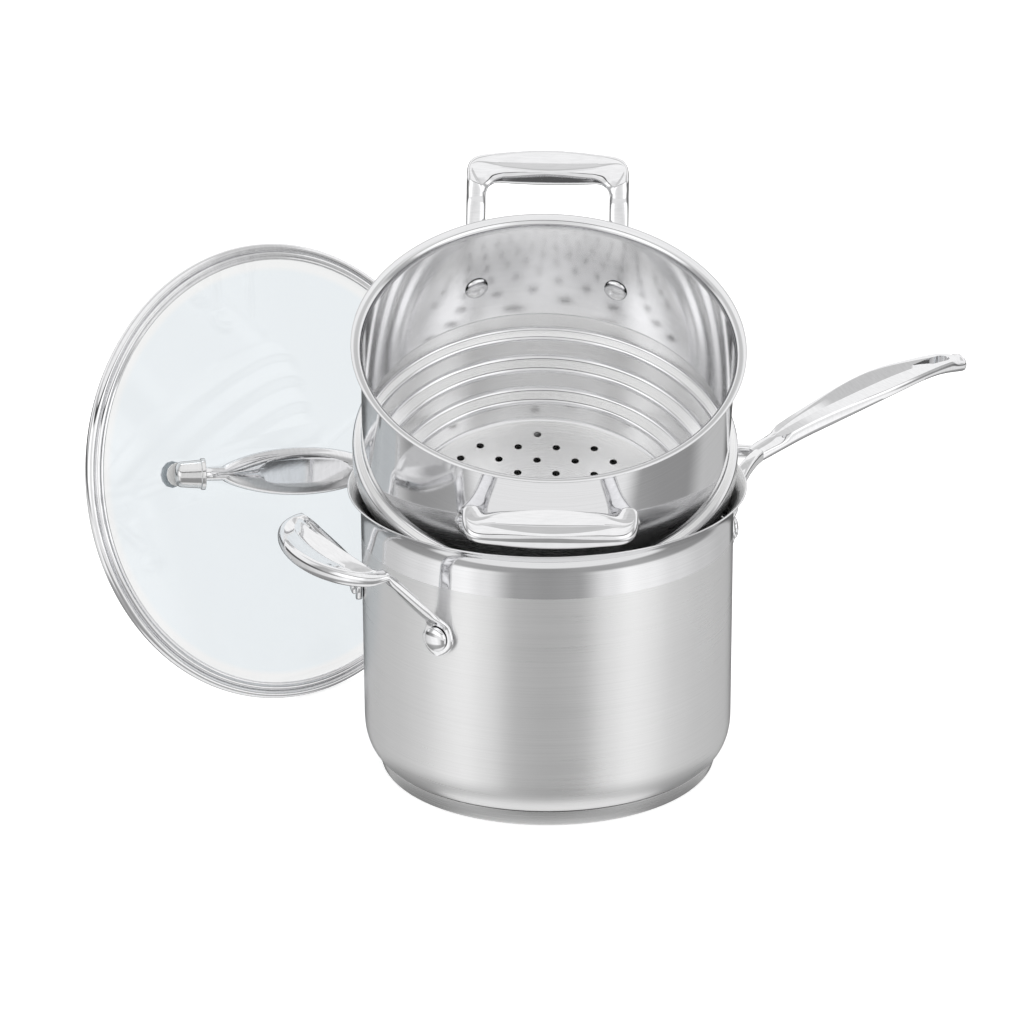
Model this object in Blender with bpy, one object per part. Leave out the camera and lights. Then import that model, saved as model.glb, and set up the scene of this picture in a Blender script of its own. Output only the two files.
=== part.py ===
# Saucepan with a steamer insert and a glass lid, in metres, +Z up.
# The origin is the centre of the saucepan's underside and +X runs along the long handle.

import math
from collections import namedtuple

import bmesh
import bpy
from mathutils import Euler, Vector

# Fits and facets
GAP = 0.0003
SEAT_GAP = 0.0004
ROUND_SEGMENTS = 44
SMALL_SEGMENTS = 12
LOFT_SIDES = 12
DISH_EDGE = 0.9
CURVE_STEPS = 5
SMOOTH_ANGLE = math.radians(40)
MITRE_LIMIT = 0.3
CUT_OVERRUN = 0.0200
CONTACT_SPACING = 0.002
CONTACT_SAMPLES = 720

# Saucepan body
PAN_RADIUS = 0.101
PAN_HEIGHT = 0.1605
PAN_WALL = 0.0009
RIM_RADIUS = 0.1079
FLARE_DEPTH = 0.014
FLARE_CURL = 0.0045
CORNER_TOP = 0.028
CORNER_BULGE = 0.0054
CREVICE_RADIUS = 0.095
CREVICE_HEIGHT = 0.010
FLAT_INSET = 0.005

# Saucepan base
BASE_RADIUS = 0.0920
CAPSULE_TOP_RADIUS = 0.0943
CAPSULE_HEIGHT = 0.0091
CAPSULE_WALL = 0.0008
CAPSULE_EDGE = 0.0008
CORE_THICKNESS = 0.0069

# Rivets
RIVET_HEAD_RADIUS = 0.0067
RIVET_HEAD_HEIGHT = 0.0030
RIVET_SHANK_RADIUS = 0.0030
RIVET_INNER_HEIGHT = 0.0022
HEAD_RINGS = 4
INNER_HEAD_RINGS = 3

# Pads that carry every riveted handle
PAD_RADIUS = 0.0098
PAD_THICKNESS = 0.0034
PAD_SQUARENESS = 3.0
PAD_TURNS = tuple(math.radians(angle) for angle in (18, 50, 90))
PAD_TAPER = 0.78
HEAD_CLEARANCE = 0.0008
LEG_SHARES = (0.18, 0.55, 0.88)
GRIP_SQUARENESS = 2.3

# Long handle, its blade read at shares of the way from neck to tip
LONG_PAD_ANGLE = math.radians(15.5)
LONG_PAD_HEIGHT = 0.1250
NECK_REACH = 0.134
TIP_REACH = 0.2725
BLADE_TOP = ((0, 0.1565), (0.23, 0.1683), (0.585, 0.1812), (0.835, 0.1860), (1, 0.1868))
BLADE_WIDTH = ((0, 0.0132), (0.23, 0.0190), (0.585, 0.0296), (0.835, 0.0212), (1, 0.0130))
BLADE_THICKNESS = ((0, 0.0080), (0.3, 0.0090), (0.585, 0.0066), (0.8, 0.0060), (1, 0.0094))
BLADE_STATIONS = 12
BLADE_SQUARENESS = 3.2
NECK_SHRINK = 0.75
TIP_ROUNDING = 0.003
TIP_SHRINK = 0.72
FORK_THICKNESS = 0.0070
FORK_WIDTH = 0.0090
FORK_KNEE_REACH = 0.106
FORK_KNEE_SPREAD = 0.0235
FORK_KNEE_HEIGHT = 0.1545
SLOT_START = 0.238
SLOT_END = 0.263
SLOT_WIDTH = 0.0088
SLOT_CUT_HEIGHT = 0.04
CHANNEL_START = 0.150
CHANNEL_DEPTH = 0.0016

# Helper handle
HELPER_PAD_ANGLE = math.radians(26)
HELPER_PAD_HEIGHT = 0.1065
HELPER_LEG_SPREAD = 0.0465
HELPER_LEG_WIDTH = 0.0098
HELPER_LEG_THICKNESS = 0.0050
HELPER_GRIP_TOP = 0.1517
HELPER_GRIP_DEPTH = 0.0255
HELPER_GRIP_REACH = 0.1535
HELPER_SWELL = 0.0140
HELPER_FACET_DEPTH = 0.0038
HELPER_CORNER = 0.004

# Steamer shell, heights measured down from its rim
STEAMER_WALL = 0.0007
STEAMER_RADIUS = 0.0985
STEAMER_RIM_RADIUS = 0.1044
STEAMER_LIP_DEPTH = 0.0060
BAND_START = 0.0689
BAND_RADIUS = 0.1036
BAND_END = 0.0836
BAND_SLOPE = 0.0028
FIRST_STEP_RADIUS = 0.0981
FIRST_STEP_DEPTH = 0.0866
STEP_COUNT = 3
STEP_RISE = 0.0118
STEP_DRAFT = 0.0015
LEDGE_WIDTH = 0.0070
LEDGE_DROP = 0.0046

# Steamer floor holes
HOLE_RADIUS = 0.00215
HOLE_SIDES = 6
HOLE_COLUMN_PITCH = 0.0213
HOLE_ROW_PITCH = 0.0103
HOLE_FIELD_RADIUS = 0.068
HOLE_FIELD_SHIFT = -0.0037

# Steamer handles
STEAMER_PAD_ANGLE = math.radians(22.9)
STEAMER_PAD_DEPTH = 0.0430
STEAMER_HANDLE_TURN = math.radians(0.8)
STEAMER_GRIP_REACH = 0.1515
STEAMER_GRIP_DEPTH = 0.0215
STEAMER_GRIP_TOP = 0.0068
STEAMER_SWELL = 0.0160
STEAMER_FACET_DEPTH = 0.0043
STEAMER_GRIP_WIDTH = 0.0895
STEAMER_LEG_WIDTH = 0.0107
STEAMER_LEG_THICKNESS = 0.0062
STEAMER_INNER_CORNER = 0.0095
STEAMER_OUTER_SQUARENESS = 5.0
STEAMER_CORNER_TURNS = tuple(math.radians(angle) for angle in (0, 20, 40, 60, 80))

# Steamer pose, leaning in the saucepan's mouth
STEAMER_PLACE_X = -0.0105
STEAMER_PLACE_Y = -0.0204
STEAMER_LEAN = math.radians(23.5)
STEAMER_ROLL = math.radians(1.675)
STEAMER_TURN = math.radians(-30)

# Lid glass and band, heights measured from the band's widest circle
LID_RADIUS = 0.1295
BAND_WIDTH = 0.0090
BAND_RIM_HEIGHT = 0.0030
BAND_SHEET = 0.0008
BAND_LIP_RISE = 0.0006
BAND_EDGE_WIDTH = 0.0030
BAND_FOLD_WIDTH = 0.0060
BAND_CROWN_WIDTH = 0.0014
GLASS_THICKNESS = 0.0040
GLASS_RISE = 0.0045
GLASS_INSET = 0.0020
GLASS_SHARES = (0, 0.35, 0.6, 0.8, 1.0)
GLASS_HOLE_RADIUS = 0.0030

# Lid pose, standing on its edge behind the saucepan
LID_PLACE_X = -0.0752
LID_PLACE_Y = 0.1758
LID_TURN = math.radians(10.74)
LID_BACK_LEAN = math.radians(15.95)

# Lid handle
LID_HANDLE_TURN = math.radians(-12)
LID_FOOT_SPREAD = 0.0735
FERRULE_SLOPE = math.radians(62)
FERRULE_LENGTH = 0.0175
FERRULE_SEGMENTS = 16
FERRULE_FOOT_RADIUS = 0.0072
FERRULE_FOOT_HEIGHT = 0.0050
FERRULE_MOUTH_RADIUS = 0.0080
FERRULE_FLANGE_RADIUS = 0.0088
FERRULE_FLANGE_WIDTH = 0.0024
FERRULE_BORE_RADIUS = 0.0050
FERRULE_BORE_DEPTH = 0.0100
FERRULE_SINK = 0.0020
NECK_RADIUS = 0.0038
NECK_INSERT = 0.0070
NECK_CLEARANCE = 0.0010
NECK_LEAD = 0.0080
LENS_SQUARENESS = 2.4
LENS_LENGTH = 0.104
LENS_WIDTH = 0.0270
LENS_THICKNESS = 0.0090
LENS_LIFT = 0.0035
LENS_DISH = 0.0012
LENS_FULLNESS = 0.8
GASKET_RADIUS = 0.0065
GASKET_THICKNESS = 0.0010
LID_WASHER_RADIUS = 0.0075
LID_WASHER_THICKNESS = 0.0008
SCREW_RADIUS = 0.0020
SCREW_HEAD_RADIUS = 0.0045
SCREW_CROWN_RADIUS = 0.0036
SCREW_HEAD_HEIGHT = 0.0020
SCREW_REACH = 0.0040

# Colours
STAINLESS = (0.72, 0.72, 0.72, 1.0)
SATIN = (0.66, 0.66, 0.66, 1.0)
ALUMINIUM = (0.70, 0.71, 0.72, 1.0)
GLASS = (0.86, 0.90, 0.93, 1.0)
SILICONE = (0.80, 0.80, 0.78, 1.0)

# A section of a lofted body: where it is, its two half axes, how square it is, how deep it is dished
# and the share of its upper half axis at which it is cut flat
Station = namedtuple("Station", "centre across through squareness dish top", defaults=(0.0, 1.0))


def clear_scene():
    for item in list(bpy.data.objects):
        bpy.data.objects.remove(item, do_unlink=True)


def make_material(name, colour, roughness, metallic):
    material = bpy.data.materials.new(name)
    material.use_nodes = True
    shader = material.node_tree.nodes["Principled BSDF"]
    shader.inputs["Base Color"].default_value = colour
    shader.inputs["Roughness"].default_value = roughness
    shader.inputs["Metallic"].default_value = metallic
    return material


def steel_material(name, roughness=0.12, colour=STAINLESS):
    return make_material(name, colour, roughness, 1.0)


def add_object(name, shape, material, parent=None, location=(0, 0, 0), rotation=(0, 0, 0)):
    bmesh.ops.recalc_face_normals(shape, faces=shape.faces)
    mesh = bpy.data.meshes.new(name)
    shape.to_mesh(mesh)
    shape.free()
    mesh.shade_smooth()
    mesh.set_sharp_from_angle(angle=SMOOTH_ANGLE)
    item = bpy.data.objects.new(name, mesh)
    item.data.materials.append(material)
    item.parent = parent
    item.location = location
    item.rotation_euler = rotation
    bpy.context.scene.collection.objects.link(item)
    return item


def add_frame(name, location, rotation):
    frame = bpy.data.objects.new(name, None)
    frame.location = location
    frame.rotation_euler = rotation
    bpy.context.scene.collection.objects.link(frame)
    return frame


def apply_boolean(item, cutter, operation="DIFFERENCE"):
    cut = item.modifiers.new(cutter.name, "BOOLEAN")
    cut.operation = operation
    cut.solver = "EXACT"
    cut.object = cutter


def add_cutter(name, shape, parent=None, location=(0, 0, 0), rotation=(0, 0, 0)):
    cutter = add_object(name, shape, make_material(name, SATIN, 0.5, 0.0), parent, location, rotation)
    cutter.hide_render = True
    cutter.display_type = "WIRE"
    return cutter


# Curves and outlines, as lists of points

def bend(start, control, end, steps):
    """Points of a quadratic curve, both ends included."""
    points = []
    for index in range(steps + 1):
        t = index / steps
        weights = ((1 - t) ** 2, 2 * t * (1 - t), t ** 2)
        points.append(tuple(sum(w * p[axis] for w, p in zip(weights, (start, control, end)))
                            for axis in range(len(start))))
    return points


def offset_outline(points, distance):
    """The outline moved sideways, to the left of its direction, with mitred corners."""
    moved = []
    for index, point in enumerate(points):
        normals = []
        for first, second in ((index - 1, index), (index, index + 1)):
            if first < 0 or second >= len(points):
                continue
            run = Vector(points[second]) - Vector(points[first])
            run.normalize()
            normals.append(Vector((-run.y, run.x)))
        mitre = sum(normals, Vector((0, 0))).normalized()
        stretch = distance / max(mitre.dot(normals[0]), MITRE_LIMIT)
        place = Vector(point) + mitre * stretch
        moved.append((place.x if point[0] > 0 else 0.0, place.y))
    return moved


def filled_in(points, spacing):
    """The outline with extra points along its straight stretches."""
    filled = [points[0]]
    for first, second in zip(points, points[1:]):
        count = max(1, math.ceil(math.dist(first, second) / spacing))
        for step in range(1, count + 1):
            share = step / count
            filled.append(tuple(a + (b - a) * share for a, b in zip(first, second)))
    return filled


def smooth_step(value):
    value = min(max(value, 0.0), 1.0)
    return value * value * (3 - 2 * value)


def spline_value(stops, place):
    """A smooth curve through (place, value) stops, read at a place."""
    if place <= stops[0][0]:
        return stops[0][1]
    if place >= stops[-1][0]:
        return stops[-1][1]
    for index in range(len(stops) - 1):
        left, right = stops[index], stops[index + 1]
        if place <= right[0]:
            break
    before = stops[max(index - 1, 0)]
    after = stops[min(index + 2, len(stops) - 1)]
    span = right[0] - left[0]
    slope_left = (right[1] - before[1]) / (right[0] - before[0]) * span
    slope_right = (after[1] - left[1]) / (after[0] - left[0]) * span
    t = (place - left[0]) / span
    return ((2 * t ** 3 - 3 * t ** 2 + 1) * left[1] + (t ** 3 - 2 * t ** 2 + t) * slope_left
            + (-2 * t ** 3 + 3 * t ** 2) * right[1] + (t ** 3 - t ** 2) * slope_right)


# Closed bodies

def turned(outline, segments):
    """A body turned about Z from (radius, height) points. The ends lie on the axis, or join up."""
    shape = bmesh.new()
    points = [shape.verts.new((radius, 0, height)) for radius, height in outline]
    pairs = list(zip(points, points[1:]))
    if outline[0][0] > 0:
        pairs.append((points[-1], points[0]))
    edges = [shape.edges.new(pair) for pair in pairs]
    bmesh.ops.spin(shape, geom=points + edges, cent=(0, 0, 0), axis=(0, 0, 1),
                   angle=math.tau, steps=segments, use_merge=True)
    bmesh.ops.remove_doubles(shape, verts=shape.verts, dist=1e-6)
    return shape


def lofted(stations, sides=LOFT_SIDES):
    """A closed body skinned over the stations."""
    shape = bmesh.new()
    rings = []
    for station in stations:
        ring = []
        for index in range(sides):
            angle = math.tau * (index + 0.5) / sides
            side, rise = math.cos(angle), math.sin(angle)
            dish = station.dish if rise > DISH_EDGE else 0.0
            side = math.copysign(abs(side) ** (2 / station.squareness), side)
            rise = math.copysign(abs(rise) ** (2 / station.squareness), rise)
            place = station.centre + station.across * side + station.through * min(rise, station.top)
            ring.append(shape.verts.new(place - station.through.normalized() * dish))
        rings.append(ring)
    for first, second in zip(rings, rings[1:]):
        for index in range(sides):
            following = (index + 1) % sides
            shape.faces.new((first[index], first[following], second[following], second[index]))
    shape.faces.new(rings[0])
    shape.faces.new(rings[-1])
    return shape


def cylinder(radius, bottom, top, segments=SMALL_SEGMENTS):
    return turned([(0, bottom), (radius, bottom), (radius, top), (0, top)], segments)


def add_to(shape, other, location=(0, 0, 0)):
    """Copies another shape's faces into this one."""
    copies = {corner: shape.verts.new(corner.co + Vector(location)) for corner in other.verts}
    for face in other.faces:
        shape.faces.new([copies[corner] for corner in face.verts])
    other.free()


# Saucepan

def flare_outline():
    return bend((PAN_RADIUS, PAN_HEIGHT - FLARE_DEPTH), (PAN_RADIUS, PAN_HEIGHT - FLARE_CURL),
                (RIM_RADIUS, PAN_HEIGHT), CURVE_STEPS)


def core_bottom():
    return CAPSULE_WALL + GAP


def pan_underside():
    return core_bottom() + CORE_THICKNESS + GAP


def pan_outline():
    corner = bend((CREVICE_RADIUS, CREVICE_HEIGHT), (PAN_RADIUS, CREVICE_HEIGHT + CORNER_BULGE),
                  (PAN_RADIUS, CORNER_TOP), CURVE_STEPS)
    return [(0, pan_underside()), (CREVICE_RADIUS - FLAT_INSET, pan_underside())] + corner + flare_outline()


def build_pan(material):
    outside = pan_outline()
    inside = offset_outline(outside, PAN_WALL)
    return add_object("saucepan_shell", turned(outside + inside[::-1], ROUND_SEGMENTS), material)


def capsule_side():
    return [(BASE_RADIUS, CAPSULE_EDGE), (CAPSULE_TOP_RADIUS, CAPSULE_HEIGHT)]


def build_base():
    edge = capsule_side()
    outside = [(0, 0), (BASE_RADIUS - CAPSULE_EDGE, 0)] + edge
    inside = [(radius - CAPSULE_WALL, height) for radius, height in edge]
    inside[0] = (inside[0][0], CAPSULE_WALL)
    add_object("base_capsule", turned(outside + inside[::-1] + [(0, CAPSULE_WALL)], ROUND_SEGMENTS),
               steel_material("capsule_steel", 0.3, SATIN))
    low = inside[0][0] - GAP
    spread = (CAPSULE_TOP_RADIUS - BASE_RADIUS) * CORE_THICKNESS / CAPSULE_HEIGHT
    bottom = core_bottom()
    top = bottom + CORE_THICKNESS
    add_object("base_core", turned([(0, bottom), (low, bottom), (low + spread, top), (0, top)],
                                   ROUND_SEGMENTS),
               make_material("core_aluminium", ALUMINIUM, 0.4, 1.0))


# Rivets and the pads that they hold

def pad_face(wall_radius):
    """Distance from the axis to the outer face of a pad on that wall."""
    return wall_radius + GAP + PAD_THICKNESS


def quarter_steps(count):
    """The angles that divide a quarter turn, without its ends."""
    return [math.pi / 2 * step / count for step in range(1, count)]


def rivet_shape(wall_radius, wall):
    """One rivet along Z, with Z measured from the vessel's axis."""
    outer_seat = pad_face(wall_radius) + GAP
    inner_seat = math.sqrt((wall_radius - wall - GAP) ** 2 - RIVET_HEAD_RADIUS ** 2)
    dome = [(RIVET_HEAD_RADIUS * math.cos(angle), outer_seat + RIVET_HEAD_HEIGHT * math.sin(angle))
            for angle in quarter_steps(HEAD_RINGS)]
    inner_dome = [(RIVET_HEAD_RADIUS * math.cos(angle), inner_seat - RIVET_INNER_HEIGHT * math.sin(angle))
                  for angle in quarter_steps(INNER_HEAD_RINGS)]
    outline = [(0, inner_seat - RIVET_INNER_HEIGHT)] + inner_dome[::-1]
    outline += [(RIVET_HEAD_RADIUS, inner_seat), (RIVET_SHANK_RADIUS, inner_seat),
                (RIVET_SHANK_RADIUS, outer_seat), (RIVET_HEAD_RADIUS, outer_seat)]
    outline += dome + [(0, outer_seat + RIVET_HEAD_HEIGHT)]
    return turned(outline, SMALL_SEGMENTS)


def add_riveting(names, azimuth, height, wall_radius, wall, held, parent=None):
    """A rivet for each name and azimuth, with its hole through everything that it holds."""
    for name, angle in zip(names, azimuth):
        place = (0, 0, height)
        turn = (0, math.pi / 2, angle)
        hole = cylinder(RIVET_SHANK_RADIUS + GAP, wall_radius - PAD_RADIUS, wall_radius + PAD_RADIUS)
        cutter = add_cutter(name + "_hole", hole, parent, place, turn)
        for item in held:
            apply_boolean(item, cutter)
        add_object(name, rivet_shape(wall_radius, wall), steel_material(name + "_steel", 0.1),
                   parent, place, turn)


def pad_stations(wall_radius, angle, height):
    """The rounded lower half of a pad and its middle, flat against the wall at that angle."""
    outward = Vector((math.cos(angle), math.sin(angle), 0))
    across = Vector((-math.sin(angle), math.cos(angle), 0))
    centre = outward * (wall_radius + GAP + PAD_THICKNESS / 2) + Vector((0, 0, height))
    stations = []
    for turn in PAD_TURNS:
        drop = Vector((0, 0, -PAD_RADIUS * math.cos(turn)))
        stations.append(Station(centre + drop, across * PAD_RADIUS * math.sin(turn),
                                -outward * PAD_THICKNESS / 2, PAD_SQUARENESS))
    return stations


def mirrored(stations, flip=Vector((1, -1, 1))):
    """The same stations on the other side of the handle, in reverse order."""
    return [station._replace(centre=station.centre * flip, across=station.across * flip,
                             through=station.through * flip)
            for station in reversed(stations)]


def leg_root(pad):
    """The narrowed top of a pad, above its rivet head."""
    lift = Vector((0, 0, RIVET_HEAD_RADIUS + HEAD_CLEARANCE))
    return pad._replace(centre=pad.centre + lift, across=pad.across * PAD_TAPER)


def bow_stations(wall_radius, angle, height, leg_width, leg_thickness, grip):
    """Half of a bow handle: pad, straight leg and the half of its grip that is given."""
    stations = pad_stations(wall_radius, angle, height)
    pad = stations[-1]
    root = leg_root(pad)
    knee = grip[0]
    slope = knee.centre - root.centre
    normal = Vector((-slope.z, 0, slope.x)).normalized()
    stations.append(root)
    for share in LEG_SHARES:
        across = pad.across.normalized().lerp(knee.across.normalized(), share).normalized()
        thickness = PAD_THICKNESS + (leg_thickness - PAD_THICKNESS) * smooth_step(share * 2)
        stations.append(Station(root.centre.lerp(knee.centre, share), across * leg_width / 2,
                                normal * thickness / 2, PAD_SQUARENESS))
    return stations + grip


# Long handle

def blade_value(stops, reach):
    return spline_value(stops, (reach - NECK_REACH) / (TIP_REACH - NECK_REACH))


def blade_station(reach, share=1.0):
    """A section of the blade, square to its slope, shrunk by the share near an end."""
    step = (TIP_REACH - NECK_REACH) / 100
    low = blade_value(BLADE_TOP, reach - step)
    high = blade_value(BLADE_TOP, reach + step)
    normal = Vector((low - high, 0, 2 * step)).normalized()
    thickness = blade_value(BLADE_THICKNESS, reach)
    centre = Vector((reach, 0, blade_value(BLADE_TOP, reach))) - normal * thickness / 2
    dish = CHANNEL_DEPTH if CHANNEL_START < reach < SLOT_END else 0.0
    return Station(centre, Vector((0, blade_value(BLADE_WIDTH, reach) / 2 * share, 0)),
                   normal * thickness / 2 * share, BLADE_SQUARENESS, dish)


def fork_stations():
    """One leg of the fork, from its pad up to the neck."""
    stations = pad_stations(PAN_RADIUS, LONG_PAD_ANGLE, LONG_PAD_HEIGHT)
    root = leg_root(stations[-1])
    stations.append(root)
    neck = blade_station(NECK_REACH)
    neck_width = BLADE_WIDTH[0][1]
    end = (NECK_REACH, neck_width / 4, neck.centre.z)
    route = [Vector(place) for place in
             bend(tuple(root.centre), (FORK_KNEE_REACH, FORK_KNEE_SPREAD, FORK_KNEE_HEIGHT), end,
                  CURVE_STEPS)]
    for index in range(1, len(route)):
        run = route[min(index + 1, len(route) - 1)] - route[index - 1]
        across = Vector((0, 0, 1)).cross(run).normalized()
        normal = run.cross(across).normalized()
        width = FORK_WIDTH + (neck_width / 2 - FORK_WIDTH) * index / (len(route) - 1)
        stations.append(Station(route[index], across * width / 2, normal * FORK_THICKNESS / 2,
                                PAD_SQUARENESS))
    return stations


def slot_shape():
    """An upright prism with round ends, the outline of the hanging slot."""
    shape = bmesh.new()
    radius = SLOT_WIDTH / 2
    corners = []
    for centre, start in ((SLOT_END - radius, -math.pi / 2), (SLOT_START + radius, math.pi / 2)):
        for step in range(CURVE_STEPS + 1):
            angle = start + math.pi * step / CURVE_STEPS
            corners.append((centre + radius * math.cos(angle), radius * math.sin(angle)))
    floor = [shape.verts.new((x, y, 0)) for x, y in corners]
    face = shape.faces.new(floor)
    raised = bmesh.ops.extrude_face_region(shape, geom=[face])
    moved = [item for item in raised["geom"] if isinstance(item, bmesh.types.BMVert)]
    bmesh.ops.translate(shape, vec=(0, 0, SLOT_CUT_HEIGHT), verts=moved)
    return shape


def build_long_handle(pan):
    span = TIP_REACH - TIP_ROUNDING - NECK_REACH
    blade = [blade_station(NECK_REACH - TIP_ROUNDING, NECK_SHRINK)]
    blade += [blade_station(NECK_REACH + span * index / (BLADE_STATIONS - 1))
              for index in range(BLADE_STATIONS)]
    blade.append(blade_station(TIP_REACH, TIP_SHRINK))
    handle = add_object("long_handle", lofted(blade), steel_material("long_handle_steel", 0.1))
    left = fork_stations()
    for name, stations in (("fork_left", left), ("fork_right", mirrored(left))):
        apply_boolean(handle, add_cutter(name, lofted(stations)), "UNION")
    slot_bottom = blade_value(BLADE_TOP, SLOT_START) - SLOT_CUT_HEIGHT / 2
    apply_boolean(handle, add_cutter("hanging_slot", slot_shape(), location=(0, 0, slot_bottom)))
    add_riveting(("long_handle_rivet_near", "long_handle_rivet_far"), (-LONG_PAD_ANGLE, LONG_PAD_ANGLE),
                 LONG_PAD_HEIGHT, PAN_RADIUS, PAN_WALL, (pan, handle))


# Helper handle

def facet_station(inner, outer, half_thickness, top, facet_depth, normal=Vector((0, 0, 1))):
    """A section of a grip between two edges, cut flat at the height of its top facet."""
    cut = min(half_thickness, facet_depth)
    across = (outer - inner) / 2
    through = (normal - across * normal.dot(across) / across.length_squared).normalized()
    centre = (inner + outer) / 2 + Vector((0, 0, top - cut))
    return Station(centre, across, through * half_thickness, GRIP_SQUARENESS, top=cut / half_thickness)


def helper_grip():
    """Half of the lens-shaped grip, from the knee to the middle."""
    stations = []
    inner_half = HELPER_LEG_SPREAD - HELPER_LEG_WIDTH / 2
    outer_half = HELPER_LEG_SPREAD + HELPER_LEG_WIDTH / 2
    start = HELPER_GRIP_REACH - HELPER_GRIP_DEPTH - HELPER_CORNER
    for step in range(CURVE_STEPS + 1):
        angle = math.pi / 2 * step / CURVE_STEPS
        inner = Vector((start + HELPER_CORNER * math.sqrt(math.sin(angle)), inner_half * math.cos(angle), 0))
        outer = Vector((start + (HELPER_GRIP_DEPTH + HELPER_CORNER) * math.sin(angle),
                        outer_half * math.cos(angle), 0))
        swell = math.sin(angle)
        half_thickness = (HELPER_LEG_THICKNESS + (HELPER_SWELL - HELPER_LEG_THICKNESS) * swell) / 2
        stations.append(facet_station(inner, outer, half_thickness, HELPER_GRIP_TOP, HELPER_FACET_DEPTH))
    return stations


def full_bow(half):
    """The whole bow from its first half, without a doubled middle station."""
    return half + mirrored(half)[1:]


def build_helper_handle(pan):
    half = bow_stations(PAN_RADIUS, HELPER_PAD_ANGLE, HELPER_PAD_HEIGHT, HELPER_LEG_WIDTH,
                        HELPER_LEG_THICKNESS, helper_grip())
    handle = add_object("helper_handle", lofted(full_bow(half)), steel_material("helper_handle_steel", 0.1),
                        rotation=(0, 0, math.pi))
    add_riveting(("helper_rivet_near", "helper_rivet_far"),
                 (math.pi + HELPER_PAD_ANGLE, math.pi - HELPER_PAD_ANGLE),
                 HELPER_PAD_HEIGHT, PAN_RADIUS, PAN_WALL, (pan, handle))


# Steamer

def steamer_inside():
    """The inner face of the steamer's sheet, from the lip down to the floor's centre."""
    points = bend((STEAMER_RIM_RADIUS, 0), (STEAMER_RADIUS, 0), (STEAMER_RADIUS, -STEAMER_LIP_DEPTH), 3)
    points += [(STEAMER_RADIUS, -BAND_START), (BAND_RADIUS, -BAND_START - BAND_SLOPE),
               (BAND_RADIUS, -BAND_END)]
    radius = FIRST_STEP_RADIUS
    depth = FIRST_STEP_DEPTH
    for step in range(STEP_COUNT):
        points.append((radius, -depth))
        radius -= STEP_DRAFT
        depth += STEP_RISE
        points.append((radius, -depth))
        if step < STEP_COUNT - 1:
            radius -= LEDGE_WIDTH
            depth += LEDGE_DROP
    points.append((0, -depth))
    return points


def steamer_floor_depth():
    return -steamer_inside()[-1][1]


def steamer_outside():
    return offset_outline(steamer_inside(), STEAMER_WALL)


def flare_height(radius):
    """Height of the saucepan's flared inner face at a distance from the axis."""
    face = offset_outline(flare_outline(), PAN_WALL)
    if radius < face[0][0] or radius > RIM_RADIUS:
        return -math.inf
    for (low, bottom), (high, top) in zip(face, face[1:]):
        if radius <= high:
            return bottom + (top - bottom) * (radius - low) / (high - low)
    return PAN_HEIGHT + PAN_WALL


def steamer_rest_height():
    """Height of the steamer's rim centre when its leaning body touches the saucepan's mouth."""
    turn = Euler((STEAMER_LEAN, STEAMER_ROLL, STEAMER_TURN)).to_matrix()
    height = 0.0
    for radius, depth in filled_in(steamer_outside(), CONTACT_SPACING):
        for step in range(CONTACT_SAMPLES):
            angle = math.tau * step / CONTACT_SAMPLES
            point = turn @ Vector((radius * math.cos(angle), radius * math.sin(angle), depth))
            distance = math.hypot(point.x + STEAMER_PLACE_X, point.y + STEAMER_PLACE_Y)
            height = max(height, flare_height(distance) - point.z)
    return height + SEAT_GAP


def floor_hole_places():
    places = []
    rows = math.ceil(HOLE_FIELD_RADIUS / HOLE_ROW_PITCH)
    columns = math.ceil(HOLE_FIELD_RADIUS / HOLE_COLUMN_PITCH) + 1
    for row in range(-rows, rows):
        shift = 0.5 * (row % 2)
        for column in range(-columns, columns):
            place = ((column + shift) * HOLE_COLUMN_PITCH, (row + 0.5) * HOLE_ROW_PITCH)
            if math.hypot(*place) <= HOLE_FIELD_RADIUS:
                places.append((place[0] + HOLE_FIELD_SHIFT, place[1]))
    return places


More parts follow.
